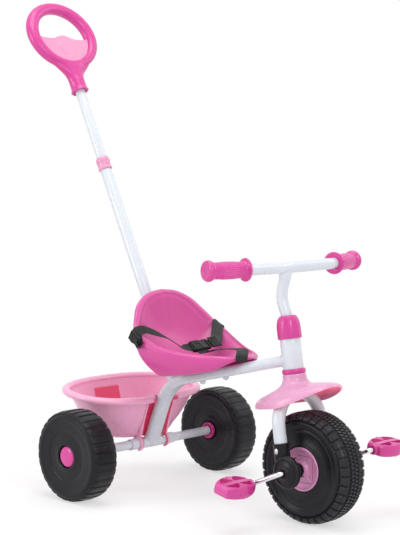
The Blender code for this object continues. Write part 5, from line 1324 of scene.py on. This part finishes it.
def pedalPlan():
    s = pedalSizes
    marks = s["plan"] + [(wide, 1.0 - share) for wide, share in s["plan"][-2::-1]]
    line = smoothPath([(wide / 1000.0, s["start"] + s["length"] * share, 0.0) for wide, share in marks], 10)
    return [(p.x, p.y) for p in line] + [(-p.x, p.y) for p in reversed(line)]


def lensShape(low, high, near, far, bottom, top):  # a pocket with pointed ends
    rings = []
    for z, grow in ((bottom, 0.0), (bottom + 0.0012, 0.0006), (top, 0.0024)):
        spots = [(i / 48, low - grow + (high - low + 2 * grow) * i / 48) for i in range(49)]
        ring = [Vector((near + (far - near + grow) * math.sin(math.pi * t) ** 0.8, y, z)) for t, y in spots]
        rings.append(ring + [Vector((near - grow * 0.6, y, z)) for _, y in spots[47:0:-1]])
    return loftRings(rings)


def makePedal(side, sign):
    s = pedalSizes
    depth, start, length = s["depth"], s["start"], s["length"]
    rings = []
    for z, inset in mm(s["levels"]):
        ring = []
        for x, y in pedalPlan():
            share = min(abs((y - start) / length - 0.5) * 2.0, 1.0)
            bow = s["hump"] * math.cos(share * math.pi * 0.5) * (z / depth)
            pull = 1.0 - inset / max(abs(x), 0.012)
            ends = inset * (1.0 if y > start + length / 2.0 else -1.0) * (share ** 6)
            ring.append(Vector((x * pull, y - ends, z + bow)))
        rings.append(ring)
    cuts, ridges = [], []
    for row, up in ((1.0, 1.0), (-1.0, 1.0), (1.0, -1.0), (-1.0, -1.0)):
        for low, high in s["pockets"]:
            pocket = lensShape(start + length * low, start + length * high, *s["pocket"])
            cuts.append(placed(pocket, scaled(row, 1.0, up)))
        middle = start + length * 0.5
        rib = boxShape((0.0232, middle - 0.0011, 0.0),
                       (s["half"] - 0.0026, middle + 0.0011, depth + s["hump"] + 0.0008))
        ridges.append(placed(rounded(rib, 0.0006, 2), scaled(row, 1.0, up)))
    body = carved(loftRings(rings), cuts)
    body = carved(body, [turned(mm(s["cavity"]), 48, "Y")])
    whole = together(body, turned(mm(s["collar"]), 64, "Y", True, 0.0006, 2), *ridges)
    mirror = scaled(1.0, sign, 1.0)
    x, z = crankEnd(sign)
    place = atFront @ moved(x, sign * crankSizes["pedalInner"], z)
    makePiece("foot_pedal_" + side, placed(whole, mirror), "magentaPlastic", "pedal_" + side,
              place @ rotated(s["tilts"][sign]), "pedal_" + side)
    cap = turned(mm(s["cap"]), 48, "Y", True, 0.0004, 2)
    makePiece("pin_cap_" + side, placed(cap, mirror), "zincSteel", "front_wheel", place, "pedal_cap_" + side)


makeFork()
makeFender()
makeCrank()
for sideName, sideSign in (("right", -1.0), ("left", 1.0)):
    makeBracket(sideName, sideSign)
    makeHub(sideName, sideSign)
    makePedal(sideName, sideSign)
print("front built")


barSizes = {"tube": 0.0111, "top": 0.3835, "forward": 0.0103, "knee": (0.0287, 0.112), "kneeRound": 0.05,
            "backset": 0.0075, "stemLow": 0.24, "flare": 0.006}
gripSizes = {  # radius and length in millimetres; the knob's from where the knob starts
    "start": 0.0155, "length": 0.0915, "sweep": math.radians(12.2), "lift": math.radians(2.6),
    "radius": 0.0155, "knob": 0.0795, "ridges": 24, "ridgeEnds": (0.0125, 0.03, 0.055, 0.073),
    "ridge": (0.0026, 0.0006, 0.0005),
    "flange": [(11.3, 0.4), (21.2, 0.2), (22.2, 1.4), (22.2, 3.6), (21.2, 5), (17.1, 6.2), (15.9, 8.5)],
    "knobLine": [(15.7, -2.2), (17.3, -0.6), (19, 0.8), (19.8, 3.2), (19.8, 7.2), (18.4, 10.4), (15.6, 11.7),
                 (10, 11.8), (8.5, 11), (0.1, 10.8), (0.1, 8.5), (11.3, 8.5)]}


def gripDirection(sign):
    sweep, lift = gripSizes["sweep"], gripSizes["lift"]
    flat = math.cos(lift)
    return Vector((-math.sin(sweep) * flat, sign * math.cos(sweep) * flat, math.sin(lift)))


def barKnee(sign):
    return Vector((barSizes["knee"][0], sign * barSizes["knee"][1], barSizes["top"]))


def makeHandlebar():
    s = barSizes
    top, forward, back, cap = s["top"], s["forward"], s["backset"], headSizes["capTop"]
    reach = gripSizes["start"] + gripSizes["length"] - 0.0045
    corners = [barKnee(-1.0) + gripDirection(-1.0) * reach, barKnee(-1.0), Vector((forward, 0.0, top)),
               barKnee(1.0), barKnee(1.0) + gripDirection(1.0) * reach]
    route = evenPath(arcCorners(corners, [s["kneeRound"], s["knee"][1], s["kneeRound"]], 16), 0.004)
    bar = loftRings(sweptRings(route, roundOutline(s["tube"], 48), zAxis))
    spots = [(0.0, s["stemLow"]), (0.0, cap - 0.012), (-0.002, cap + 0.003), (-back, cap + 0.03),
             (-back * 0.5, cap + 0.052), (forward * 0.55, top - 0.02), (forward, top)]
    path = evenPath(smoothPath([(x, 0.0, z) for x, z in spots], 10), 0.002)
    rings = []
    for ring, point in zip(sweptRings(path, roundOutline(s["tube"] - 0.0001, 64), yAxis), path):
        if point.z < top - 0.0015:  # the stem widens along the cross bar, like a pressed saddle
            flare = s["flare"] * ramp(point.z, top - 0.03, top - 0.004) ** 2.6 * 1.6 / s["tube"]
            rings.append([spot + yAxis * (flare * (spot - point).y) for spot in ring])
    makePiece("bar_tube", [bar, loftRings(rings)], "whitePaint", "steering", atSteer, "handlebar")


def makeGrip(side, sign):
    s = gripSizes
    radius, knob = s["radius"], s["knob"]
    outline = mm(s["flange"])
    for i in range(1, 26):  # a waist that swells slightly
        swell = 0.0007 * math.sin(math.pi * i / 26)
        outline.append((radius + swell, 0.0085 + (knob - 0.0025 - 0.0085) * i / 26))
    shape = turned(outline + mm(s["knobLine"], 0.0, knob), 96, "Y", True, 0.0008)
    heights = (radius - 0.0002, radius + 0.0004, radius + 0.0004, radius - 0.0002)
    ridge = treadBar(list(zip(heights, s["ridgeEnds"])), *s["ridge"])
    ridges = meshShape("gripRidges", ridge, "magentaPlastic", aroundAxle, Count=s["ridges"], Start=0.0)
    turn = yAxis.rotation_difference(gripDirection(sign)).to_matrix().to_4x4()
    place = atSteer @ Matrix.Translation(barKnee(sign) + gripDirection(sign) * s["start"]) @ turn
    makePiece("hand_grip_" + side, [shape, ridges], "magentaPlastic", "steering", place, "grip_" + side)


pushSizes = {  # the collar and button in millimetres, the collar's from the lower tube's end
    "foot": (0.064, 0.0, 0.2445), "lower": 0.0125, "top": 0.493, "upper": 0.011, "overlap": 0.06,
    "socket": 0.0152, "neckStart": 0.6585, "bore": 0.045, "ringCentre": 0.14,
    "collar": [(12.8, -23), (14.4, -23), (15.2, -21.4), (15.2, -18.4), (14.4, -17), (14.4, -6), (15.2, -4.8),
               (15.2, -0.2), (13.8, 3.4), (13.2, 5), (11.5, 4.4), (11.5, 0.3), (12.8, 0.3)],
    "button": [(0.1, 12), (4, 12), (4, 15.8), (3.2, 16.4), (0.1, 16.6)], "buttonHeight": -0.0102}
atPush = atAxle @ frameMatrix(pushSizes["foot"], slideUp)


def makePushBar():
    s = pushSizes
    lower, top, low, high = s["lower"], s["top"], -0.018, 0.062
    socket = [(lower, low), (s["socket"], low), (s["socket"], high), (lower + 0.0002, high)]
    shapes = [pipe(lower - 0.0011, lower, 0.0, top, 72, "Z", 0.0004), turned(socket, 72, "Z", True, 0.001)]
    makePiece("bar_lower_tube", shapes, "whitePaint", "frame", atPush, "push_bar_lower")
    low, high = top - s["overlap"], s["neckStart"] + s["bore"] - 0.0003
    upper = pipe(s["upper"] - 0.0012, s["upper"], low, high, 72, "Z", 0.0004)
    makePiece("bar_upper_tube", upper, "whitePaint", "push_bar", atPush, "push_bar_upper")
    shape = turned(mm(s["collar"], 0.0, top), 96, "Z", True, 0.0006)
    button = turned(mm(s["button"]), 32, "Z", False, 0.0006)
    placed(button, moved(0.0, 0.0, top + s["buttonHeight"]) @ rotated(90.0) @ scaled(1.0, 1.0, 0.93))
    makePiece("bar_collar", [shape, button], "pinkPlastic", "frame", atPush, "push_bar_collar")


ringSizes = {  # the neck has height, half width and half depth in millimetres, from the ring's centre
    "outer": (0.095, 0.0815), "inner": (0.067, 0.0595), "innerDrop": 0.0035, "depth": 0.0125,
    "panelDepth": 0.0045, "panelTop": -0.008, "hump": 0.01, "emblemDrop": 0.029, "emblem": 0.0195,
    "emblemHeight": 0.0015,
    "neck": [(-65.5, 53, 6), (-69, 52, 10.5), (-73, 49, 12.2), (-81.5, 40, 12.6), (-88.8, 32.2, 13.1),
             (-96, 25, 14), (-104, 20.5, 15.1), (-112, 18.6, 16.1), (-125, 17.4, 17.1), (-132, 17.8, 17.6),
             (-137, 19.8, 19.6), (-140, 20.4, 20.2)]}


def soft(c):  # a cosine with a fuller shoulder, for the hoop's section
    return math.copysign(abs(c) ** 0.82, c)


def makeRingHandle():
    s = ringSizes
    rings = []
    for _, c, q in around(160):
        far = Vector((s["outer"][0] * c, s["outer"][1] * q))
        near = Vector((s["inner"][0] * c, s["inner"][1] * q - s["innerDrop"]))
        middle, half = (far + near) / 2.0, (far - near) / 2.0
        rings.append([Vector((s["depth"] * b, middle.x + half.x * soft(a), middle.y + half.y * soft(a)))
                      for _, a, b in around(40)])
    hoop = loftRings(rings, closed=True)
    neck = []
    for height, wide, deep in smoothPath(mm(s["neck"]), 6):
        ring = []
        for turn, c, q in around(72):
            scallop = 1.0 + 0.018 * math.cos(8 * turn) * ramp(height, -0.131, -0.137)
            ring.append(Vector((deep * c * scallop, wide * q * scallop, height)))
        neck.append(ring)
    neck += [circlePoints(0.0165, -0.1395, 72), circlePoints(0.0113, -0.133, 72)]
    place = atPush @ moved(0.0, 0.0, pushSizes["neckStart"] + pushSizes["ringCentre"])
    whole = modified(carved(hoop, [loftRings(neck)], "UNION"),  # one skin, with its seam evened out
                     remesh={"mode": "VOXEL", "voxel_size": 0.0014, "use_smooth_shade": True},
                     smooth={"factor": 0.5, "iterations": 14})
    makePiece("handle_hoop", whole, "magentaPlastic", "push_bar", place, "ring_handle", 60.0)
    makeHandlePanel(place)


def makeHandlePanel(place):
    s = ringSizes
    a, b = s["inner"][0] + 0.002, s["inner"][1] + 0.002
    count, steps = 96, 28
    low, high = [], []
    for i in range(count + 1):
        y = a * math.sin(math.radians(-88.0 + 176.0 * i / count))
        base = -b * math.sqrt(max(1.0 - (y / a) ** 2, 0.0)) - s["innerDrop"]
        wave = s["panelTop"] + s["hump"] * math.exp(-(y / 0.022) ** 2) + 0.004 * (abs(y) / a) ** 3
        low.append(Vector((y, base)))
        high.append(Vector((y, max(wave, base + 0.001))))
    middle = Vector((0.0, -s["emblemDrop"]))
    bm = bmesh.new()
    for sign in (1.0, -1.0):  # both faces, each with its raised disc
        grid = []
        for k in range(steps + 1):
            line = []
            for bottom, top in zip(low, high):
                point = bottom.lerp(top, k / steps)
                edge = ramp(top.y - point.y, 0.0, 0.0032)
                bulge = s["panelDepth"] * math.sqrt(max(1.0 - (1.0 - edge) ** 2, 0.0))
                far = (point - middle).length - s["emblem"]
                disc = softRamp(far, 0.001, -0.001)
                rim = math.exp(-((far + 0.0022) / 0.0013) ** 2)
                bulge += s["emblemHeight"] * (0.75 * disc + 0.35 * rim)
                line.append(bm.verts.new((sign * bulge, point.x, point.y)))
            grid.append(line)
        for one, two in zip(grid, grid[1:]):
            for i in range(count):
                face = (one[i], one[i + 1], two[i + 1], two[i])
                bm.faces.new(face if sign > 0.0 else face[::-1])
    makePiece("handle_plate", bm, "pinkPlastic", "push_bar", place, "handle_panel", 60.0, 0.00001)


makeHandlebar()
for sideName, sideSign in (("right", -1.0), ("left", 1.0)):
    makeGrip(sideName, sideSign)
makePushBar()
makeRingHandle()
print("bars built")


bucketSizes = {  # the inside has reach back and sideways from the rim's edge, height in millimetres, and tilt
    "middle": -0.058, "long": 0.103, "wide": 0.1645, "rim": 0.2045, "tilt": 0.1, "wall": 0.0024,
    "lip": 0.011, "lipHeight": 0.0052, "channel": 0.03, "lipChannel": 0.0216, "gap": 0.005, "lug": 0.0375,
    "inside": [(-13, -13.5, 198.3), (-15.5, -16.5, 192.5), (-19.5, -26.5, 177.5), (-25.5, -40, 157.5),
               (-32, -55, 139.5), (-38.5, -69, 125.5), (-43, -78, 114), (-49, -86, 108.5), (-58, -95, 106.5),
               (-78, -120, 106.5)],
    "tilts": (1.0, 1.0, 0.97, 0.75, 0.5, 0.32, 0.18, 0.08, 0.0, 0.0, 0.0),
    "fin": [(-14, 15.5), (-8, 17), (-0.5, 34), (21.5, 99), (36, 100.5), (30, 85), (19, 54), (12.5, 30),
            (8, 13.2), (-6, 13.2)],
    "rib": [(6, 24), (15.5, 56), (25, 88)]}


def tubeBack(z):  # the rear face of the down tube, seen from the side
    s = frameSizes
    lean = s["lean"]
    half = (math.radians(90.0) - lean - s["slope"]) / 2.0
    bendLow = tubeCorner.z - s["bend"] * math.tan(half) * math.cos(lean)
    x = tubeCorner.x - math.tan(lean) * (tubeCorner.z - z)
    if z > bendLow:
        x += 0.72 * (z - bendLow) ** 2 / s["bend"]
    return x - s["tubeHeight"] / 2.0 / math.cos(lean)


def bucketRing(length, width, height, tilt, half, soft=0.006, power=2.4):
    s = bucketSizes
    ring = []
    for _, c, q in around(320, 0.5):
        x = math.copysign(abs(c) ** (2.0 / power), c) * length
        y = math.copysign(abs(q) ** (2.0 / power), q) * width
        z = height - x * s["tilt"] * tilt
        if c > 0.0:
            back = tubeBack(z) - s["gap"] - s["middle"]
            share = softRamp(abs(y), half, half + soft)
            x = min(x, back) * (1.0 - share) + x * share
        ring.append(Vector((x + s["middle"], y, z)))
    return ring


def makeBucket():
    s = bucketSizes
    a, b, rim = s["long"], s["wide"], s["rim"]
    lip, lipHeight = s["lip"] * 0.55, s["lipHeight"]
    marks = []
    for k in range(14, -1, -1):  # the rolled lip: over and down again outside, with its edge turned in
        turn = math.radians(222.0 - 245.0 * (k / 14))
        reach = -lip - 0.0003 - lip * math.cos(turn)
        marks.append(Vector((a + reach, b + reach, rim - lipHeight + lipHeight * math.sin(turn))))
    tilts = [1.0] * 15
    marks += smoothPath([marks[-1]] + mm(s["inside"], a, b, 0.0), 5)[1:]
    tilts += [point.x for point in smoothPath([(tilt, 0.0, 0.0) for tilt in s["tilts"]], 5)[1:]]
    rings = []
    for k, (mark, tilt) in enumerate(zip(marks, tilts)):  # the lip comes closer to the tube than the wall
        share = softRamp(k, 17, 26)
        half = s["lipChannel"] * (1.0 - share) + s["channel"] * share
        rings.append(bucketRing(mark.x, mark.y, mark.z, tilt, half))
    bm = loftRings(rings, caps=False)
    bm.verts.ensure_lookup_table()
    capRow(bm, bm.verts[-len(rings[0]):])
    facedUp(bm, len(bm.verts) - 1)
    shapes = [modified(bm, solidify={"thickness": s["wall"], "offset": -1.0})]
    inner = frameSizes["sleeve"] + 0.0005
    for y in (-s["lug"], s["lug"]):  # a hook over the axle, with its fin and rib
        atLug = moved(0.0, y, axlePlace.z)
        clip = []
        for i in range(41):
            turn = math.radians(-75.0 + 225.0 * i / 40)
            c, q = math.cos(turn), math.sin(turn)
            swell = 1.25 if i in (0, 1) else 1.0
            step, top = inner + 0.0022 * swell, inner + 0.003 * swell
            clip.append([Vector((r * c, w, r * q)) for r, w in
                         ((inner, -0.0046), (inner, 0.0046), (step, 0.0046), (top, 0.0036), (top, -0.0036),
                          (step, -0.0046))])
        line = softLine(mm(s["fin"]), 0.004, 4, closed=True)
        fin = loftRings([[Vector((p.x, w, p.y)) for p in line] for w in (-0.0026, 0.0026)])
        rib = [Vector((p.x, 0.0, p.y)) for p in mm(s["rib"])]
        rib = loftRings(sweptRings(rib, ovalOutline(0.0078, 0.003, 24), yAxis))
        shapes += [placed(shape, atLug) for shape in (loftRings(clip), rounded(fin, 0.0009), rib)]
    makePiece("bucket_tub", shapes, "bucketPlastic", "bucket", atAxle, "bucket", 44.0)


makeBucket()
print("bucket built")


viewOf = {"turn": 44.391, "rise": 4.428, "roll": 0.372, "focal": 96.41, "far": 2.916,
          "targetX": 0.14235, "targetZ": 0.47064}
white = (1.0, 1.0, 1.0, 1.0)


def makeCamera():
    turn, rise = math.radians(viewOf["turn"]), math.radians(viewOf["rise"])
    back = Vector((math.sin(turn) * math.cos(rise), -math.cos(turn) * math.cos(rise), math.sin(rise)))
    lens = bpy.data.cameras.new("photoCamera")
    lens.sensor_width = 36.0
    lens.lens = viewOf["focal"]
    camera = bpy.data.objects.new("photoCamera", lens)
    bpy.context.scene.collection.objects.link(camera)
    camera.rotation_mode = "QUATERNION"
    camera.location = Vector((axlePlace.x + viewOf["targetX"], 0.0, viewOf["targetZ"])) + back * viewOf["far"]
    roll = Quaternion((0.0, 0.0, 1.0), math.radians(viewOf["roll"]))
    camera.rotation_quaternion = back.to_track_quat("Z", "Y") @ roll
    bpy.context.scene.camera = camera


def seenRays(tree):  # what the camera sees directly, in gloss or through glass
    rays = tree.nodes.new("ShaderNodeLightPath").outputs
    direct = plus(tree, rays["Is Camera Ray"], rays["Is Glossy Ray"])
    return plus(tree, direct, rays["Is Transmission Ray"], True)


def makeFloor():
    floor = looseObject(boxShape((-6.0, -6.0, -0.02), (6.0, 6.0, 0.0)), "floor")
    material, tree = newMaterial("paleFloor")
    shader = tree.nodes["Principled BSDF"]
    labelled(tree, shader, **{"Base Color": (0.95, 0.95, 0.955, 1.0), "Roughness": 0.75,
                              "Specular IOR Level": 0.15})
    place = tree.nodes.new("ShaderNodeTexCoord").outputs["Object"]
    away = addNode(tree, "ShaderNodeVectorMath", place, operation="LENGTH").outputs["Value"]
    fade = spread(tree, away, 0.42, 1.0, 0.58, 1.0, "SMOOTHSTEP")
    lit = addNode(tree, "ShaderNodeEmission", white, 1.0)
    share = times(tree, fade, seenRays(tree))
    choose = addNode(tree, "ShaderNodeMixShader", share, shader.outputs[0], lit.outputs[0])
    joined(tree, choose.outputs[0], tree.nodes["Material Output"].inputs["Surface"])
    floor.data.materials.append(material)


def makeWorld():
    world = bpy.data.worlds.new("paleStudio")
    bpy.context.scene.world = world
    world.use_nodes = True
    tree = world.node_tree
    light = tree.nodes["Background"].outputs[0]
    labelled(tree, tree.nodes["Background"], Color=white, Strength=0.64)
    plain = addNode(tree, "ShaderNodeBackground", white, 1.0).outputs[0]
    choose = addNode(tree, "ShaderNodeMixShader", seenRays(tree), light, plain)
    joined(tree, choose.outputs[0], tree.nodes["World Output"].inputs["Surface"])


softboxes = {  # place, what it faces, width, height and power
    "overheadBox": ((0.1, -0.2, 2.6), (0.0, 0.0, 0.4), 1.5, 1.5, 25.0),
    "rightBox": ((2.0, -0.7, 1.5), (0.1, 0.0, 0.4), 0.45, 1.1, 12.5),
    "backBox": ((1.0, 1.9, 1.9), (0.0, 0.0, 0.4), 1.2, 1.2, 7.0),
    "leftBox": ((-1.0, -2.3, 1.0), (0.0, 0.0, 0.35), 0.6, 1.1, 16.0),
}


def makeSoftbox(name, place, aim, width, height, power):
    lamp = bpy.data.lights.new(name, "AREA")
    lamp.shape = "RECTANGLE"
    lamp.size = width
    lamp.size_y = height
    lamp.energy = power
    holder = bpy.data.objects.new(name, lamp)
    bpy.context.scene.collection.objects.link(holder)
    holder.location = place
    holder.rotation_mode = "QUATERNION"
    holder.rotation_quaternion = (Vector(place) - Vector(aim)).to_track_quat("Z", "Y")


makeCamera()
makeFloor()
makeWorld()
for boxName, values in softboxes.items():
    makeSoftbox(boxName, *values)
bpy.context.scene.view_settings.view_transform = "Standard"
print("stage built")
